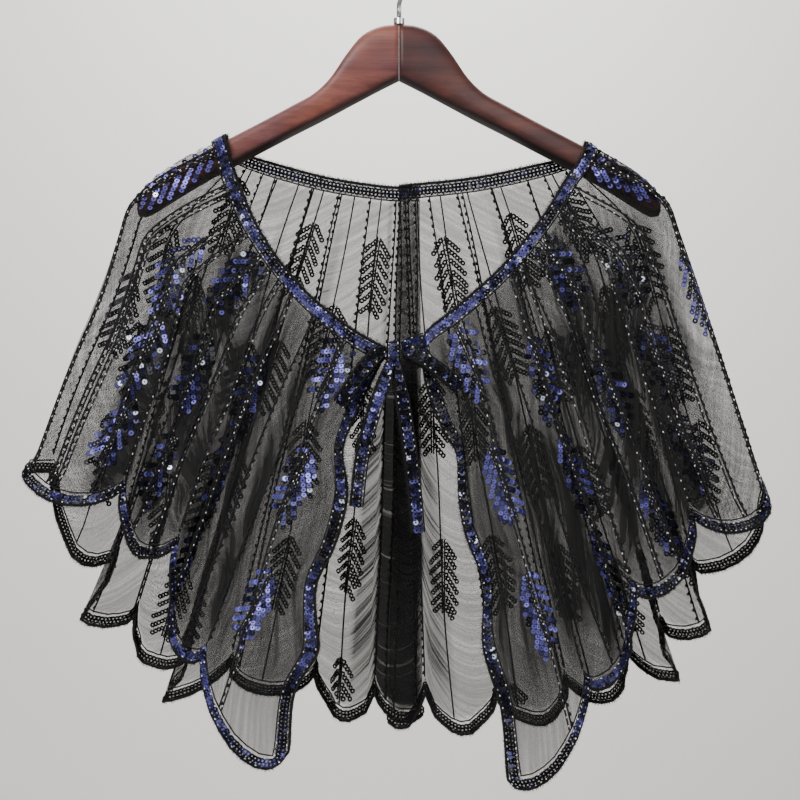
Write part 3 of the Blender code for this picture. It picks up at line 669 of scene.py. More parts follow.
def grid_faces(columns, rows, flip=False):
    """The faces of a grid of points that are stored column by column."""
    starts = [i * rows + j for i in range(columns - 1) for j in range(rows - 1)]
    rings = [(a, a + 1, a + rows + 1, a + rows) for a in starts]
    return [ring[::-1] for ring in rings] if flip else rings


def closed_faces(start, rings, sides):
    """The faces of a closed solid through rings of points, the first of them stored at a start."""
    faces = []
    for a in range(start, start + (rings - 1) * sides, sides):
        for k in range(sides):
            b, c = a + k, a + (k + 1) % sides
            faces.append((b, c, c + sides, b + sides))
    last = start + (rings - 1) * sides
    return faces + [tuple(range(start, start + sides))[::-1], tuple(range(last, last + sides))]


def sequin_shape():
    """A flat sequin of radius 1 with a hole, its bright face up: points, faces, their looks and the rim,
    which masks its painted shade.
    """
    turns = [2 * math.pi * k / SEQUIN_SIDES for k in range(SEQUIN_SIDES)]
    hole, thick = SEQUIN_HOLE / SEQUIN_RADIUS, SEQUIN_THICKNESS / SEQUIN_RADIUS
    rings = ((1.0, thick), (hole, thick), (hole, 0.0))
    points = [(wide * math.cos(t), wide * math.sin(t), height) for wide, height in rings for t in turns]
    faces = []
    for k in range(SEQUIN_SIDES):
        rim, next_rim = k, (k + 1) % SEQUIN_SIDES
        top, next_top = rim + SEQUIN_SIDES, next_rim + SEQUIN_SIDES
        low, next_low = top + SEQUIN_SIDES, next_top + SEQUIN_SIDES
        faces += [(rim, next_rim, next_top, top), (top, next_top, next_low, low)]
        faces.append((next_rim, rim, low, next_low))
    # 1 on the outer rim and 0 at the hole: the mask of the sequin's painted shade.
    rim = [1.0] * SEQUIN_SIDES + [0.0] * (len(points) - SEQUIN_SIDES)
    return np.array(points), faces, [0, 1, 1] * SEQUIN_SIDES, rim


def bead_shape():
    """A seed bead of radius 1, the thread that ties it down reaching through the net under it."""
    turns = [2 * math.pi * k / BEAD_SIDES for k in range(BEAD_SIDES)]
    around = [(BEAD_STRETCH * radius, radius, z) for radius, z in BEAD_RINGS]
    points = [(long * math.cos(t), wide * math.sin(t), z) for long, wide, z in around for t in turns]
    top, foot = len(points), len(points) + 1
    points += [(0.0, 0.0, BEAD_TOP), (0.0, 0.0, BEAD_FOOT)]
    faces = []
    for low in range(BEAD_SIDES):
        next_low = (low + 1) % BEAD_SIDES
        high, next_high = low + BEAD_SIDES, next_low + BEAD_SIDES
        faces += [(low, next_low, next_high, high), (high, next_high, top), (next_low, low, foot)]
    return np.array(points), faces, [0, 0, 1] * BEAD_SIDES, [0.0] * len(points)


def fibre_shape():
    """A pointed fibre of length 1."""
    thin = FUZZ_RADIUS
    points = [(thin, 0.0, 0.0), (-thin, thin, 0.0), (-thin, -thin, 0.0), (0.0, 0.0, 1.0)]
    faces = [(0, 1, 3), (1, 2, 3), (2, 0, 3), (0, 2, 1)]
    return np.array(points), faces, [0] * len(faces), [0.0] * len(points)


class Batch:
    """Many copies of one small thing, gathered and then made as one mesh."""

    def __init__(self, shape, radius, jitter, smooth):
        self.shape = shape
        self.radius = radius
        self.jitter = jitter
        self.smooth = smooth
        self.copies = []

    def add(self, place, along, outward, tint, lean=0.0):
        """Copies at places, each with its x along and its z outward, leaning back by an angle."""
        count = len(place)
        outward = unit(outward + rng.normal(0.0, self.jitter, (count, 3)))
        along = unit(along - outward * (along * outward).sum(1, keepdims=True))
        c, s = math.cos(math.radians(lean)), math.sin(math.radians(lean))
        x, z = along * c + outward * s, outward * c - along * s
        tint = np.broadcast_to(tint, (count,))
        self.copies.append((place, x, np.cross(z, x), z, tint))


    def build(self, name, *looks, slot="sequin_tape"):
        points, faces, face_looks, rim = self.shape
        place, x, y, z, tint = (np.concatenate(parts) for parts in zip(*self.copies))
        count = len(place)
        spread = sum(points[None, :, k, None] * axis[:, None, :] for k, axis in enumerate((x, y, z)))
        moved = (place[:, None, :] + spread * self.radius).reshape(-1, 3)
        starts = np.arange(count)[:, None] * len(points)
        ordered = [ring for face in faces for ring in (starts + np.array(face)).tolist()]
        piece = put(name, moved, ordered, looks, np.repeat(face_looks, count), self.smooth)
        point_values(piece, "tint", np.repeat(tint, len(points)))
        point_values(piece, "rim", np.tile(rim, count))
        return piece


def sequins():
    return Batch(sequin_shape(), SEQUIN_RADIUS, SEQUIN_JITTER, False)


def beads(radius=BEAD_RADIUS):
    return Batch(bead_shape(), radius, BEAD_JITTER, True)


def tube(name, lines, radius, sides, look="thread"):
    """Threads of one radius along lines, each given as its points and its outward directions."""
    points, faces = [], []
    turns = 2 * math.pi * (np.arange(sides) + 0.5) / sides
    for line, outward in lines:
        along = unit(np.gradient(line, axis=0))
        side = unit(np.cross(outward, along))
        up = np.cross(along, side)
        ring = side[:, None] * np.cos(turns)[None, :, None] + up[:, None] * np.sin(turns)[None, :, None]
        faces += closed_faces(sum(len(part) for part in points), len(line), sides)
        points.append((line[:, None] + ring * radius).reshape(-1, 3))
    return put(name, np.concatenate(points), faces, [look])


def bunching(panel, down, bunches):
    """How bunched the net is at each point: stretched thin below 0, and in tight folds at 1."""
    gore, share = panel.gores[:, None], panel.downs
    beside_shoulder = np.exp(-(((gore - panel.half.shoulder_gore) / STRETCH_REACH) ** 2))
    thin = STRETCH * beside_shoulder * smooth_step(share, 0.0, STRETCH_FULL)
    # Denser net under the neck tape: the neck's gathers, and a painted shadow below the tape.
    value = GATHER_AND_SHADOW_HEIGHT * np.exp(-down / GATHER_AND_SHADOW_LENGTH)
    for bunch in bunches:
        along = smooth_step(share, bunch.top - BUNCH_FADE, bunch.top + BUNCH_FADE)
        along = along * (1 - smooth_step(share, bunch.bottom - BUNCH_FADE, bunch.bottom + BUNCH_FADE))
        full, none = (bunch.width * edge for edge in BUNCH_EDGE)
        tightness = bunch.height * along * (1 - smooth_step(np.abs(gore - bunch.gore), full, none))
        if bunch.height > 0:
            value = np.maximum(value, tightness)
        else:
            thin = thin - tightness
    value = value - thin * (1 - np.clip(value, 0, 1))
    to_tape = np.minimum(down, down[:, -1:] - down)
    hidden, shown = (TRIM_WIDTH * edge for edge in TAPE_FADE)
    return value - (value + TAPE_THIN) * (1 - smooth_step(to_tape, hidden, shown))


def net_piece(name, panel, node, bunches):
    """The net: a thin shell just inside the outer face of the solid's wall."""
    lifted = panel.points + panel.outward * NET_LIFT
    columns, rows = lifted.shape[:2]
    faces = grid_faces(columns, rows, panel.half.facing < 0)
    piece = put(name, lifted.reshape(-1, 3), faces, ["net", "net_inner"])
    steps = np.linalg.norm(np.diff(panel.points, axis=1), axis=2)
    down = np.concatenate([np.zeros((columns, 1)), np.cumsum(steps, axis=1)], axis=1)
    weave = np.stack([panel.across, down], axis=2).reshape(-1, 2) * MM
    layer = piece.data.uv_layers.new(name="weave")
    corners = np.zeros(len(piece.data.loops), np.int32)
    piece.data.loops.foreach_get("vertex_index", corners)
    layer.data.foreach_set("uv", weave[corners].ravel())
    point_values(piece, "bunched", bunching(panel, down, bunches))
    thicken(piece, NET_SHELL).material_offset = 1
    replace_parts(piece, node)
    return piece


def tints(blue, count):
    """How blue each of some sequins looks, a few of them painted white as painted highlights, flashes of
    light off them.
    """
    values = np.clip(blue + rng.normal(0, TINT_SEQUIN, count), 0.0, TINT_BLUEST)
    values[rng.random(count) < PAINTED_FLASH_SHARE] = 1.0
    return values


def add_leaf(panel, leaf_sequins, leaf_beads, threads, gore, down, blue):
    """One leaf: a spine of beads down the cloth, and slanting rows of sequins on both sides of it."""
    long = np.interp(gore, panel.gores, panel.lengths)
    tape = TRIM_WIDTH / long
    height = LEAF_ROW_STEP * len(LEAF_ROWS)
    top = -height / 2
    lean = math.radians(rng.uniform(*LEAF_LEAN))
    for side in (-1, 1):
        slant = math.radians(LEAF_SLANT + rng.uniform(-LEAF_SLANT_STRAY, LEAF_SLANT_STRAY)) - side * lean
        for i, count in enumerate(LEAF_ROWS):
            if rng.random() < LEAF_THINNED:
                count -= 1
            far = LEAF_SPINE_GAP + SEQUIN_PITCH * np.arange(count)
            root = top + i * LEAF_ROW_STEP + rng.uniform(-LEAF_ROW_STRAY, LEAF_ROW_STRAY)
            across = side * far * math.cos(slant) + root * math.sin(lean)
            shares = down + (root * math.cos(lean) + far * math.sin(slant)) / long
            gores = panel.all_beside(gore, shares, across)
            place, outward, downward = panel.read(gores, shares)
            level = np.cross(outward, downward) * panel.half.facing
            along = level * side * math.cos(slant) + downward * math.sin(slant)
            tint = tints(blue + rng.normal(0, TINT_ROW), count)
            on = (shares > tape + LEAF_MARGIN) & (shares < panel.hem_at(gores) - tape - LEAF_MARGIN)
            on &= gores > panel.half.tape_gore + LEAF_MARGIN
            if on.any():
                lifted = place + outward * (NET_FACE + SEQUIN_LIFT)
                leaf_sequins.add(lifted[on], along[on], outward[on], tint[on], SHINGLE)
    for aside in SPINE_THREADS:
        root = np.linspace(top, -top, SPINE_POINTS)
        shares = np.clip(down + root * math.cos(lean) / long, tape, None)
        gores = panel.all_beside(gore, shares, aside + root * math.sin(lean))
        kept = shares < panel.hem_at(gores) - tape
        if kept.sum() > 1:
            threads.append(panel.line(gores[kept], shares[kept], NET_FACE + THREAD_RADIUS))
    for k in range(int(height / SPINE_STEP)):
        for across, drop in SPINE_BEADS:
            root = top + k * SPINE_STEP + drop
            share = down + root * math.cos(lean) / long
            stray = rng.uniform(-SPINE_BEAD_STRAY, SPINE_BEAD_STRAY)
            beside = panel.beside(gore, share, across + root * math.sin(lean) + stray)
            if tape < share < panel.hem_at(beside) - tape:
                place, outward, downward = panel.read([beside], [share])
                leaf_beads.add(place + outward * (NET_FACE + BEAD_RADIUS), downward, outward, rng.random(1))


def dress_net(side, panel, files):
    """The leaves, and the bead lines that run from the neck to the leaves and the cusps."""
    leaf_sequins, leaf_beads, line_beads, stitches = sequins(), beads(), beads(), beads(KNOT_RADIUS)
    threads = []
    for file in files:
        for k in range(file.count):
            down = file.first + k * file.step
            add_leaf(panel, leaf_sequins, leaf_beads, threads, file.gore, down, file.blue)
    leaf_lines = [file.gore for file in files]
    plain_lines = [float(k) for k in range(1, int(panel.half.last_gore) + 1)] + EXTRA_LINES
    for gore in sorted(leaf_lines + plain_lines):
        tape = TRIM_WIDTH / np.interp(gore, panel.gores, panel.lengths)
        down = np.linspace(tape, panel.hem_at(gore) - tape, LINE_POINTS)
        sway = LINE_SWAY * np.sin(down * rng.uniform(*LINE_SWAY_RATES) + rng.uniform(*LINE_SWAY_STARTS))
        has_beads = gore in leaf_lines or gore in BEADED_LINES
        for beside in (0.0, LINE_PAIR_GAP) if has_beads and gore < panel.half.shoulder_gore else (0.0,):
            drift = panel.all_beside(gore, down, beside + sway)
            threads.append(panel.line(drift, down, NET_FACE + THREAD_RADIUS))
            beaded = has_beads and beside == 0.0
            place, out, along = spaced(LINE_BEAD_PITCH if beaded else KNOT_PITCH, *threads[-1])
            place = place + rng.normal(0.0, LINE_BEAD_STRAY, place.shape)
            if beaded:
                tint = rng.uniform(*LINE_BEAD_TINTS, len(place))
                line_beads.add(place + out * BEAD_RADIUS, along, out, tint)
            else:
                stitches.add(place + unit(np.cross(out, along)) * KNOT_ASIDE, along, out, 0.0)
    return [
        leaf_sequins.build(f"leaf_sequins_{side}", "sequin", "thread"),
        leaf_beads.build(f"leaf_beads_{side}", "bead", "thread"),
        line_beads.build(f"line_beads_{side}", "bead", "thread"),
        stitches.build(f"line_knots_{side}", "thread", "thread", slot="net"),
        tube(f"line_threads_{side}", threads, THREAD_RADIUS, 4),
    ]


def overlock_line(line, outward, inward):
    """The thread that is wound round a tape's free edge. inward points from the edge into the tape."""
    place, out, into = evenly(OVERLOCK_PITCH / OVERLOCK_TURN_POINTS, line, outward, inward)
    turn = 2 * math.pi * np.arange(len(place)) / OVERLOCK_TURN_POINTS
    uneven = 1 + OVERLOCK_UNEVEN * rng.standard_normal(len(place))
    radial = out * np.sin(turn)[:, None] + into * np.cos(turn)[:, None]
    return place + into * OVERLOCK_INSET + radial * (OVERLOCK_RADIUS * uneven)[:, None], unit(radial)


def edge_fuzz(line, outward, inward):
    """Loose fibres that stand off a tape's free edge."""
    place, out, into = evenly(FUZZ_PITCH, line, outward, inward)
    rise, aside = rng.normal(0.0, FUZZ_RISE, (len(place), 1)), rng.normal(0.0, FUZZ_STRAY, place.shape)
    root = place + into * rng.uniform(-FUZZ_REACH, FUZZ_REACH, (len(place), 1))
    fuzz = Batch(fibre_shape(), FUZZ_LENGTH, 0.0, False)
    fuzz.add(root, out + into * FUZZ_TURN, unit(out * rise - into + aside), 0.0)
    return fuzz


def dress_tape(name, node, line_at, style):
    """A tape with its sequins, its rows of beads and its overlocked edge.

    line_at gives the tape's line at a share of the way across it, lifted by a distance.
    """
    points = np.stack([line_at(share, 0.0)[0] for share in TAPE_SHARES], axis=1)
    count = len(points)
    measured = points[:, MEASURED]
    turned = np.cross(points[:, -1] - points[:, 0], np.gradient(measured, axis=0))
    flip = (turned * line_at(0.5, 0.0)[1]).sum() < 0
    faces = grid_faces(count, len(TAPE_SHARES), flip)
    base = put(name, points.reshape(-1, 3), faces, ["tape"])
    gaps = [style.gap if TAPE_GAP[0] < share < TAPE_GAP[1] else 0.0 for share in TAPE_SHARES]
    point_values(base, "open", np.tile(gaps, count))
    thicken(base, TRIM_WALL)
    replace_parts(base, node)
    length = along_line(measured)[-1]
    tape_sequins, tape_beads = sequins(), beads()
    patches = rng.uniform(-1.0, 1.0, int(length / TINT_PATCH) + 3)
    for share in TAPE_SEQUINS:
        place, out, along = spaced(TAPE_SEQUIN_PITCH, *line_at(share, TRIM_WALL / 2 + SEQUIN_LIFT))
        patch = np.interp(along_line(place) / TINT_PATCH, np.arange(len(patches)), patches)
        tape_sequins.add(place, along, out, tints(style.blue + TINT_TAPE * patch, len(place)), SHINGLE)
    for share in TAPE_BEADS:
        place, out, along = spaced(TAPE_BEAD_PITCH, *line_at(share, TRIM_WALL / 2 + BEAD_RADIUS))
        tape_beads.add(place, along, out, rng.random(len(place)))
    edge, out = line_at(0.0, 0.0)
    into = unit(line_at(TAPE_SHARES[1], 0.0)[0] - edge)
    fuzz = edge_fuzz(edge, out, into)
    pieces = [
        tape_sequins.build(f"{name}_sequins", "sequin", style.inside),
        tape_beads.build(f"{name}_beads", "bead", "thread"),
        fuzz.build(f"{name}_fuzz", "thread", slot="net"),
        tube(f"{name}_overlock", [overlock_line(edge, out, into)], OVERLOCK_THREAD, 3),
        tube(f"{name}_core", [(edge + into * OVERLOCK_INSET, out)], OVERLOCK_CORE, 6),
        tube(f"{name}_cord", [line_at(CORD_SHARE, TRIM_WALL / 2)], CORD_RADIUS, 5),
    ]


def neck_line(panel):
    """Lines of the neck tape at shares of its width from the neck edge."""

    def line_at(share, lift):
        down = share * TRIM_WIDTH / panel.lengths
        return panel.line(panel.gores, down, TAPE_LIFT + lift)

    return line_at


def edge_line(panel):
    """Lines of the tape down the front edge and along the hem, at shares of its width from the free edge."""
    half = panel.half
    hem_gores = np.array([gore for gore in panel.gores if gore > half.tape_gore + HEM_START_GAP])

    def line_at(share, lift):
        gore = share * half.tape_gore
        tape = TRIM_WIDTH / half.length(gore)
        first = (TRIM_WIDTH + 2 * SEAM_GAP) / half.length(gore)
        in_hem = np.interp(share, TAPE_SHARES, HEM_SHARES)
        down = np.linspace(first, panel.hem_at(gore) - in_hem * tape, EDGE_POINTS)
        corner = np.linspace(gore, hem_gores[0], CORNER_POINTS + 2)[1:-1]
        corner_hem = panel.hem_at(corner) - in_hem * tape
        hem_lengths = np.interp(hem_gores, panel.gores, panel.lengths)
        hem = panel.hem_at(hem_gores) - in_hem * TRIM_WIDTH / hem_lengths
        gores = np.concatenate([np.full(EDGE_POINTS, gore), corner, hem_gores])
        return panel.line(gores, np.concatenate([down, corner_hem, hem]), TAPE_LIFT + lift)

    return line_at


def ribbon_line(line, steps, is_loop):
    """Lines of a bow's ribbon at shares of its width."""
    rows = [RibbonStep(i, *point) for i, point in enumerate(line)]
    last = len(line) - 1
    edges = []
    for step in range(steps + 1):
        at = last * step / steps
        first, second = (0, last / 2) if is_loop else (max(at - RIBBON_LOOK, 0), min(at + RIBBON_LOOK, last))
        along = place_of(row_at(rows, second)) - place_of(row_at(rows, first))
        across = Vector((along.z, 0.0, -along.x)).normalized()
        gathered = max(1 - (min(at, last - at) if is_loop else at), 0.0)
        half_width = RIBBON_WIDTH / 2 * (1 - (1 - RIBBON_PINCH) * gathered)
        middle = place_of(row_at(rows, at))
        edges.append((middle + across * half_width, middle - across * half_width))
    near, far = (np.array([edge[k] for edge in edges]) for k in (0, 1))
    outward = unit(np.cross(far - near, np.gradient((near + far) / 2, axis=0)))
    if outward[1][1] > 0:
        outward = -outward

    def line_at(share, lift):
        return near + (far - near) * share + outward * lift, outward

    return line_at


class Look:
    """A material, and the nodes that make it."""

    def __init__(self, name, **settings):
        self.material = bpy.data.materials.new(name)
        self.material.use_nodes = True
        self.tree = self.material.node_tree
        self.shader = self.tree.nodes["Principled BSDF"]
        for socket, value in settings.items():
            self.shader.inputs[socket.replace("_", " ")].default_value = value

    def node(self, kind, inputs=(), **settings):
        made = self.tree.nodes.new(kind)
        for name, value in settings.items():
            setattr(made, name, value)
        for socket, value in dict(inputs).items():
            self.feed(made.inputs[socket], value)
        return made

    def feed(self, socket, value):
        if isinstance(value, bpy.types.NodeSocket):
            self.tree.links.new(value, socket)
        else:
            socket.default_value = value

    def set(self, socket, value):
        self.feed(self.shader.inputs[socket], value)

    def math(self, operation, *values):
        return self.node("ShaderNodeMath", enumerate(values), operation=operation).outputs[0]

    def spread(self, value, low, high, to_low=0.0, to_high=1.0):
        inputs = {"Value": value, "From Min": low, "From Max": high, "To Min": to_low, "To Max": to_high}
        return self.node("ShaderNodeMapRange", inputs).outputs["Result"]

    def in_steps(self, value, low, middle, high):
        """A number that is low where the value is -1, middle at 0 and high at 1."""
        rise = self.spread(value, -1.0, 0.0, low, middle)
        return self.math("ADD", rise, self.spread(value, 0.0, 1.0, 0.0, high - middle))

    def attribute(self, name):
        return self.node("ShaderNodeAttribute", attribute_name=name).outputs["Fac"]

    def ramp(self, value, *stops):
        made = self.node("ShaderNodeValToRGB", {"Fac": value})
        while len(made.color_ramp.elements) < len(stops):
            made.color_ramp.elements.new(1.0)
        for element, (position, color) in zip(made.color_ramp.elements, stops):
            element.position = position
            element.color = (*color, 1.0)
        return made.outputs["Color"]

    def xyz(self, vector):
        return self.node("ShaderNodeSeparateXYZ", {"Vector": vector}).outputs

    def paint(self, value, *stops):
        self.set("Base Color", self.ramp(value, *stops))

    def place(self, scale=(1.0, 1.0, 1.0)):
        """Object coordinates in metres, stretched by a scale along each axis."""
        where = self.node("ShaderNodeTexCoord").outputs["Object"]
        return self.node("ShaderNodeMapping", {"Vector": where, "Scale": scale}).outputs["Vector"]

    def noise(self, scale, detail=3.0, vector=None):
        inputs = {"Vector": vector or self.place(), "Scale": scale, "Detail": detail}
        return self.node("ShaderNodeTexNoise", inputs).outputs["Fac"]

    def mix(self, blend, factor, below, above):
        made = self.node("ShaderNodeMix", {"Factor": factor}, data_type="RGBA", blend_type=blend)
        self.feed(made.inputs[6], below)
        self.feed(made.inputs[7], above)
        return made.outputs[2]

    def bump(self, height, distance, strength=1.0):
        made = self.node("ShaderNodeBump", {"Height": height, "Distance": distance, "Strength": strength})
        self.set("Normal", made.outputs["Normal"])


WHITE = (1.0, 1.0, 1.0)


def net_look():
    """Black tulle: two sets of diagonal threads, with the holes between them see-through."""
    look = Look("net", Roughness=0.85, Specular_IOR_Level=0.15)
    u, v, _ = look.xyz(look.node("ShaderNodeUVMap", uv_map="weave").outputs[0])
    diagonal = math.sqrt(0.5) / (NET_CELL * MM)
    slow = look.math("MULTIPLY", v, STREAK_STRETCH)
    fall = look.node("ShaderNodeCombineXYZ", {"X": u, "Y": slow}).outputs[0]
    streaks = look.noise(NET_STREAKS, 3.0, fall)
    folds = look.noise(NET_STREAKS / 4, 2.0, fall)
    deep = NET_STREAK_DEPTH
    depths = [look.spread(noise, 0.3, 0.7, -deep, deep) for noise in (streaks, folds)]
    bunched = look.math("ADD", look.attribute("bunched"), look.math("ADD", *depths))
    half_thread = look.in_steps(bunched, *NET_THREADS)
    stray = look.math("MULTIPLY", look.noise(900.0, 1.0), 2 * NET_WANDER)
    threads = []
    for operation in ("ADD", "SUBTRACT"):
        across = look.math("MULTIPLY_ADD", look.math(operation, u, v), diagonal, stray)
        threads.append(look.math("LESS_THAN", look.math("PINGPONG", across, 0.5), half_thread))
    covered = look.math("MULTIPLY", look.math("MAXIMUM", *threads), NET_THREAD_ALPHA)
    look.set("Alpha", look.math("MAXIMUM", covered, look.in_steps(bunched, *NET_HOLES)))
    look.paint(streaks, (0.32, (0.0012, 0.0012, 0.0015)), (0.7, (0.011, 0.0105, 0.01)))
    return look.material


def net_inner_look():
    """The inner face of the net's shell, which only veils what is behind it."""
    look = Look("net_inner", Roughness=0.85, Specular_IOR_Level=0.1)
    folds = look.spread(look.attribute("bunched"), 0.0, 1.0, 0.0, NET_INNER_BUNCHED)
    look.set("Alpha", look.math("ADD", NET_INNER_ALPHA, folds))
    look.paint(look.noise(90.0), (0.3, (0.007, 0.0065, 0.0065)), (0.7, (0.015, 0.0135, 0.013)))
    return look.material


def sequin_look():
    """Black to pale blue by its tint, painted white at 1 as a painted highlight, and painted darker round
    its rim as painted shade.
    """
    look = Look("sequin", Metallic=0.5, Roughness=0.36, Specular_IOR_Level=0.25)
    black, navy, royal = (0.002, 0.002, 0.004), (0.005, 0.005, 0.018), (0.028, 0.026, 0.112)
    pale, painted_flash = (0.125, 0.118, 0.385), (0.75, 0.8, 0.95)
    stops = ((0, black), (0.48, black), (0.6, navy), (0.76, royal), (0.93, pale), (0.98, pale), (1, painted_flash))
    # Painted shade: each sequin is darkened towards its rim, as the shade between overlapping sequins.
    painted_shade = look.ramp(look.attribute("rim"), (0.45, WHITE), (0.95, (0.3, 0.3, 0.34)))
    look.set("Base Color", look.mix("MULTIPLY", 1.0, look.ramp(look.attribute("tint"), *stops), painted_shade))
    return look.material


def bead_look():
    """Black to white by its tint; the pale beads are painted highlights, glints on dark glass beads."""
    look = Look("bead", Roughness=0.12, Metallic=0.3, Coat_Weight=0.8, Coat_Roughness=0.05)
    black, dark = (0.008, 0.008, 0.01), (0.01, 0.01, 0.012)
    grey, painted_glint = (0.22, 0.22, 0.24), (0.85, 0.85, 0.85)
    look.paint(look.attribute("tint"), (0, black), (0.28, dark), (0.42, grey), (0.9, painted_glint))
    return look.material


def thread_look():
    look = Look("thread", Roughness=0.75, Specular_IOR_Level=0.2)
    look.paint(look.noise(900.0), (0.3, (0.004, 0.004, 0.005)), (0.75, (0.013, 0.012, 0.014)))
    return look.material


def tape_look():
    """The tape's ground: a close black net, more open where the tape has a gap."""
    look = Look("tape", Roughness=0.8, Specular_IOR_Level=0.15)
    weave = look.noise(1400.0)
    look.paint(weave, (0.3, (0.005, 0.005, 0.007)), (0.8, (0.02, 0.02, 0.023)))
    look.set("Alpha", look.spread(look.attribute("open"), 0.0, 1.0, *TAPE_ALPHA))
    look.bump(weave, 0.0003)
    return look.material


def wood_look():
    """Reddish brown wood under dull lacquer, with its grain along the arm; the right arm's darker tone and
    the darker underside are painted shade.
    """
    look = Look("wood", Roughness=0.5, Specular_IOR_Level=0.3, Coat_Roughness=0.3)
    grain = look.noise(14.0, 6.0, look.place((0.7, 9.0, 9.0)))
    pores = look.noise(120.0, 3.0, look.place((0.25, 6.0, 6.0)))
    # Painted shade: both arms are the same wood, the right one painted darker as the side the key light
    # falls on less.
    left = look.ramp(grain, (0.3, (0.135, 0.042, 0.036)), (0.7, (0.25, 0.094, 0.078)))
    right = look.ramp(grain, (0.3, (0.046, 0.014, 0.012)), (0.7, (0.095, 0.03, 0.025)))
    on_shaded_right = look.math("GREATER_THAN", look.xyz(look.place())["X"], 0.0)
    patches = look.ramp(look.noise(26.0, 2.0), (0.35, (0.72, 0.72, 0.85)), (0.65, (1.1, 0.95, 0.8)))
    patched = look.mix("MULTIPLY", 1.0, look.mix("MIX", on_shaded_right, left, right), patches)
    pored = look.mix("MULTIPLY", 0.35, patched, look.ramp(pores, (0.35, (0.45, 0.4, 0.4)), (0.5, WHITE)))
    # Painted shade: the wood is darkened where it faces down, and its lacquer gloss lessened there, as the
    # shade under the arms.
    faces_up = look.xyz(look.node("ShaderNodeNewGeometry").outputs["Normal"])["Z"]
    painted_shade = look.spread(faces_up, -0.75, -0.35, 0.1, 1.0)
    shaded = look.node("ShaderNodeVectorMath", {0: pored}, operation="SCALE")
    look.feed(shaded.inputs["Scale"], painted_shade)
    look.set("Base Color", shaded.outputs[0])
    look.set("Coat Weight", look.math("MULTIPLY", painted_shade, 0.12))
    look.bump(pores, 0.00015, 0.4)
    return look.material


def steel_look():
    look = Look("steel", Metallic=1.0)
    brushed = look.noise(60.0, 4.0, look.place((1.0, 1.0, 8.0)))
    look.paint(brushed, (0.3, (0.55, 0.55, 0.56)), (0.7, (0.72, 0.72, 0.73)))
    look.set("Roughness", look.spread(brushed, 0.3, 0.7, 0.16, 0.3))
    return look.material


LOOKS = {
    "net": net_look(),
    "net_inner": net_inner_look(),
    "sequin": sequin_look(),
    "bead": bead_look(),
    "thread": thread_look(),
    "tape": tape_look(),
    "wood": wood_look(),
    "steel": steel_look(),
}


def lofts(name, solids, look):
    """Closed solids, each through its own rings of equally many points, as one piece."""
    points, faces = [], []
    for rings in solids:
        faces += closed_faces(len(points), len(rings), len(rings[0]))
        points.extend(point for ring in rings for point in ring)
    piece = put(name, np.array(points), faces, [look])
    piece.data.polygons.foreach_set("use_smooth", [len(face) == 4 for face in faces])
    mesh = bmesh.new()
    mesh.from_mesh(piece.data)
    bmesh.ops.recalc_face_normals(mesh, faces=mesh.faces)
    mesh.to_mesh(piece.data)
    mesh.free()
    return piece


def arm_ring(arm, out, size, side):
    """The points round one section of an arm: a rounded box, with the front of its underside raised."""
    middle, half_height = (arm.top + arm.bottom) / 2, (arm.top - arm.bottom) / 2
    ring = []
    for k in range(SECTION_POINTS):
        turn = 2 * math.pi * (k + 0.5) / SECTION_POINTS
        c, s = math.cos(turn), math.sin(turn)
        reach = (abs(c) ** HANGER_SQUARENESS + abs(s) ** HANGER_SQUARENESS) ** (-1 / HANGER_SQUARENESS)
        back, up = c * reach * size, s * reach * size
        lift = (UNDERSIDE_RISE / 2 * (1 - back) / 2 - UNDERSIDE_DROP * (1 + back) / 2) * max(-s, 0.0) ** 2
        ring.append((side * out, arm.depth + back * arm.half_depth, middle + up * half_height + lift))
    return ring


def build_hanger():
    """Two shaped arms that meet at the middle."""
    outs = [ARM_JOINT / 2]
    for here, there in zip(HANGER_ARM, HANGER_ARM[1:]):
        steps = range(1, STATIONS_PER_SPAN + 1)
        outs += [here.out + (there.out - here.out) * step / STATIONS_PER_SPAN for step in steps]
    tip = HANGER_ARM[-1]
    arms = []
    for side in (-1, 1):
        rings = [arm_ring(arm_section(out), out, 1.0, side) for out in outs]
        rings += [arm_ring(tip, tip.out + past, size, side) for past, size in TIP_ROUND]
        arms.append(rings)
    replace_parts(lofts("hanger_arms", arms, "wood"), "hanger_wood")


def build_hook():
    """The bent wire, from its rounded tip to the ferrule."""
    wood = arm_section(0.0)
    centre_z = HOOK_WIRE / 2 - HOOK_RADIUS
    turns = np.radians(np.linspace(HOOK_TIP_ANGLE, HOOK_NECK_ANGLE, HOOK_STEPS + 1))
    bend = np.stack([HOOK_RADIUS * np.cos(turns), 0 * turns, centre_z + HOOK_RADIUS * np.sin(turns)], axis=1)
    foot = wood.top + FERRULE_HEIGHT + 2 * SEAM_GAP
    neck = [(row.x, wood.depth * row.back, foot + row.above_ferrule) for row in HOOK_NECK]
    line = np.concatenate([bend, neck])
    facing = np.tile((0.0, 1.0, 0.0), (len(line), 1))
    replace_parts(tube("hook", [(line, facing)], HOOK_WIRE / 2, HOOK_SIDES, "steel"), "hook_wire")
    for part in bpy.data.objects["hook_ferrule"].material_slots:
        part.material = LOOKS["steel"]


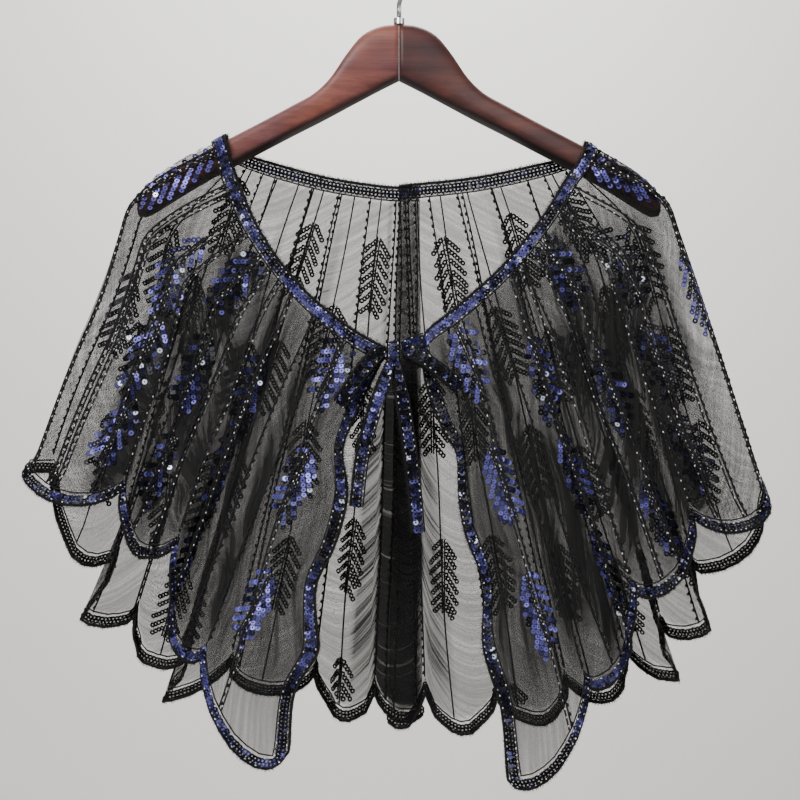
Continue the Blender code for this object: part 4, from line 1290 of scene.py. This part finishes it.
def build_knot():
    """The knot: the tape wound round itself, with its sequins and beads on the front."""
    half = np.array(KNOT_SIZE) / 2
    turns = 2 * math.pi * np.arange(KNOT_SIDES) / KNOT_SIDES
    c, s = np.cos(turns), np.sin(turns)
    reach = (abs(c) ** KNOT_SQUARENESS + abs(s) ** KNOT_SQUARENESS) ** (-1 / KNOT_SQUARENESS)
    deep, high = c * reach * half[1], s * reach * half[2]
    rings = []
    for i in range(KNOT_RINGS + 1):
        share = -1 + 2 * i / KNOT_RINGS
        size = max(1 - abs(share) ** KNOT_SQUARENESS, KNOT_END) ** (1 / KNOT_SQUARENESS)
        groove = abs(math.sin(share * KNOT_WRAPS * math.pi / 2)) ** KNOT_GROOVE_SHARPNESS
        size -= KNOT_GROOVE / half[2] * groove
        ring = np.stack([np.full(KNOT_SIDES, share * half[0]), deep * size, high * size], axis=1)
        rings.append(ring + KNOT_AT)
    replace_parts(lofts("bow_knot_tape", [rings], "tape"), "bow_knot")
    knot_sequins, knot_beads = sequins(), beads()
    for share, of_beads in KNOT_ROWS:
        ring = rings[int(round((share + 1) / 2 * KNOT_RINGS))]
        wound = np.concatenate([ring, ring[:1]])
        around = unit(wound - np.array([wound[0][0], KNOT_AT[1], KNOT_AT[2]]))
        place, out, along = spaced(KNOT_BEAD_PITCH if of_beads else SEQUIN_PITCH, wound, around)
        front = out[:, 1] < KNOT_FRONT
        batch, lift = (knot_beads, BEAD_RADIUS) if of_beads else (knot_sequins, SEQUIN_LIFT)
        tint = rng.random(front.sum()) if of_beads else tints(KNOT_BLUE, front.sum())
        batch.add((place + out * lift)[front], along[front], out[front], tint, SHINGLE)
    knot_sequins.build("bow_knot_sequins", "sequin", "thread")
    knot_beads.build("bow_knot_beads", "bead", "thread")


def build_half(side, half, creases, bunches, files):
    """One half of the capelet: its net, what is sewn on it and its tapes."""
    panel = Panel(half, creases)
    net = net_piece(f"net_{side}", panel, f"cape_{side}", bunches)
    sewn = dress_net(side, panel, files)
    dress_tape(f"neck_tape_{side}", f"neck_trim_{side}", neck_line(panel), NECK_STYLE)
    dress_tape(f"edge_tape_{side}", f"edge_trim_{side}", edge_line(panel), EDGE_STYLE)


def build_bow():
    for name, node, line, steps, is_loop in (
        ("bow_tape_left", "bow_loop_left", LOOP_LEFT, LOOP_STEPS, True),
        ("bow_tape_right", "bow_loop_right", LOOP_RIGHT, LOOP_STEPS, True),
        ("tail_tape_left", "tie_tail_left", TAIL_LEFT, TAIL_STEPS, False),
        ("tail_tape_right", "tie_tail_right", TAIL_RIGHT, TAIL_STEPS, False),
        ("strap_tape_right", "tie_strap_right", TIE_RIGHT, STRAP_STEPS, False),
    ):
        line_at = ribbon_line(line, steps, is_loop)
        dress_tape(name, node, line_at, LOOP_STYLE if is_loop else TAIL_STYLE)
    build_knot()


def slab(name, size, place, turn, look):
    """A plain flat backdrop."""
    bpy.ops.mesh.primitive_plane_add(size=1.0)
    made = bpy.context.active_object
    made.name = name
    made.scale = (*size, 1.0)
    made.location = place
    made.rotation_euler = turn
    made.data.materials.append(look.material)


def area_light(name, place, target, size, power):
    light = bpy.data.lights.new(name, "AREA")
    light.shape = "DISK"
    light.size = size
    light.energy = power
    lamp = new_object(name, light)
    lamp.location = place
    lamp.rotation_euler = (Vector(target) - Vector(place)).to_track_quat("-Z", "Y").to_euler()


def build_studio():
    wall = Look("wall", Roughness=0.9)
    wall.paint(wall.noise(3.0), (0.0, WALL_COLOR), (1.0, tuple(c * 0.97 for c in WALL_COLOR)))
    slab("backdrop", (9.0, 6.0), (0.0, 2.4, 1.0), (math.pi / 2, 0.0, 0.0), wall)
    slab("floor", (9.0, 9.0), (0.0, 0.0, -1.6), (0.0, 0.0, 0.0), wall)
    middle = (0.0, 0.0, -0.33)
    area_light("key", (-0.9, -1.7, 0.9), middle, 1.2, 60.0)
    area_light("fill", (1.8, -1.4, 0.3), middle, 1.4, 16.0)
    area_light("wall_light", (0.0, 0.9, 1.4), (0.0, 2.4, -0.3), 1.8, 85.0)
    world = bpy.data.worlds.new("studio")
    world.use_nodes = True
    background = world.node_tree.nodes["Background"].inputs
    background["Color"].default_value = (1.0, 0.99, 0.975, 1.0)
    background["Strength"].default_value = WORLD_STRENGTH
    bpy.context.scene.world = world


def build_camera():
    data = bpy.data.cameras.new("view")
    data.sensor_width = 36.0
    data.lens = CAMERA_LENS
    data.dof.use_dof = False
    camera = new_object("view", data)
    camera.location = CAMERA_AT
    camera.rotation_euler = (math.pi / 2, 0.0, 0.0)
    bpy.context.scene.camera = camera


build_camera()
build_hanger()
build_hook()
build_half("left", LEFT, CREASES_LEFT, BUNCHES_LEFT, LEAVES_LEFT)
build_half("right", RIGHT, CREASES_RIGHT, BUNCHES_RIGHT, LEAVES_RIGHT)
build_bow()
build_studio()
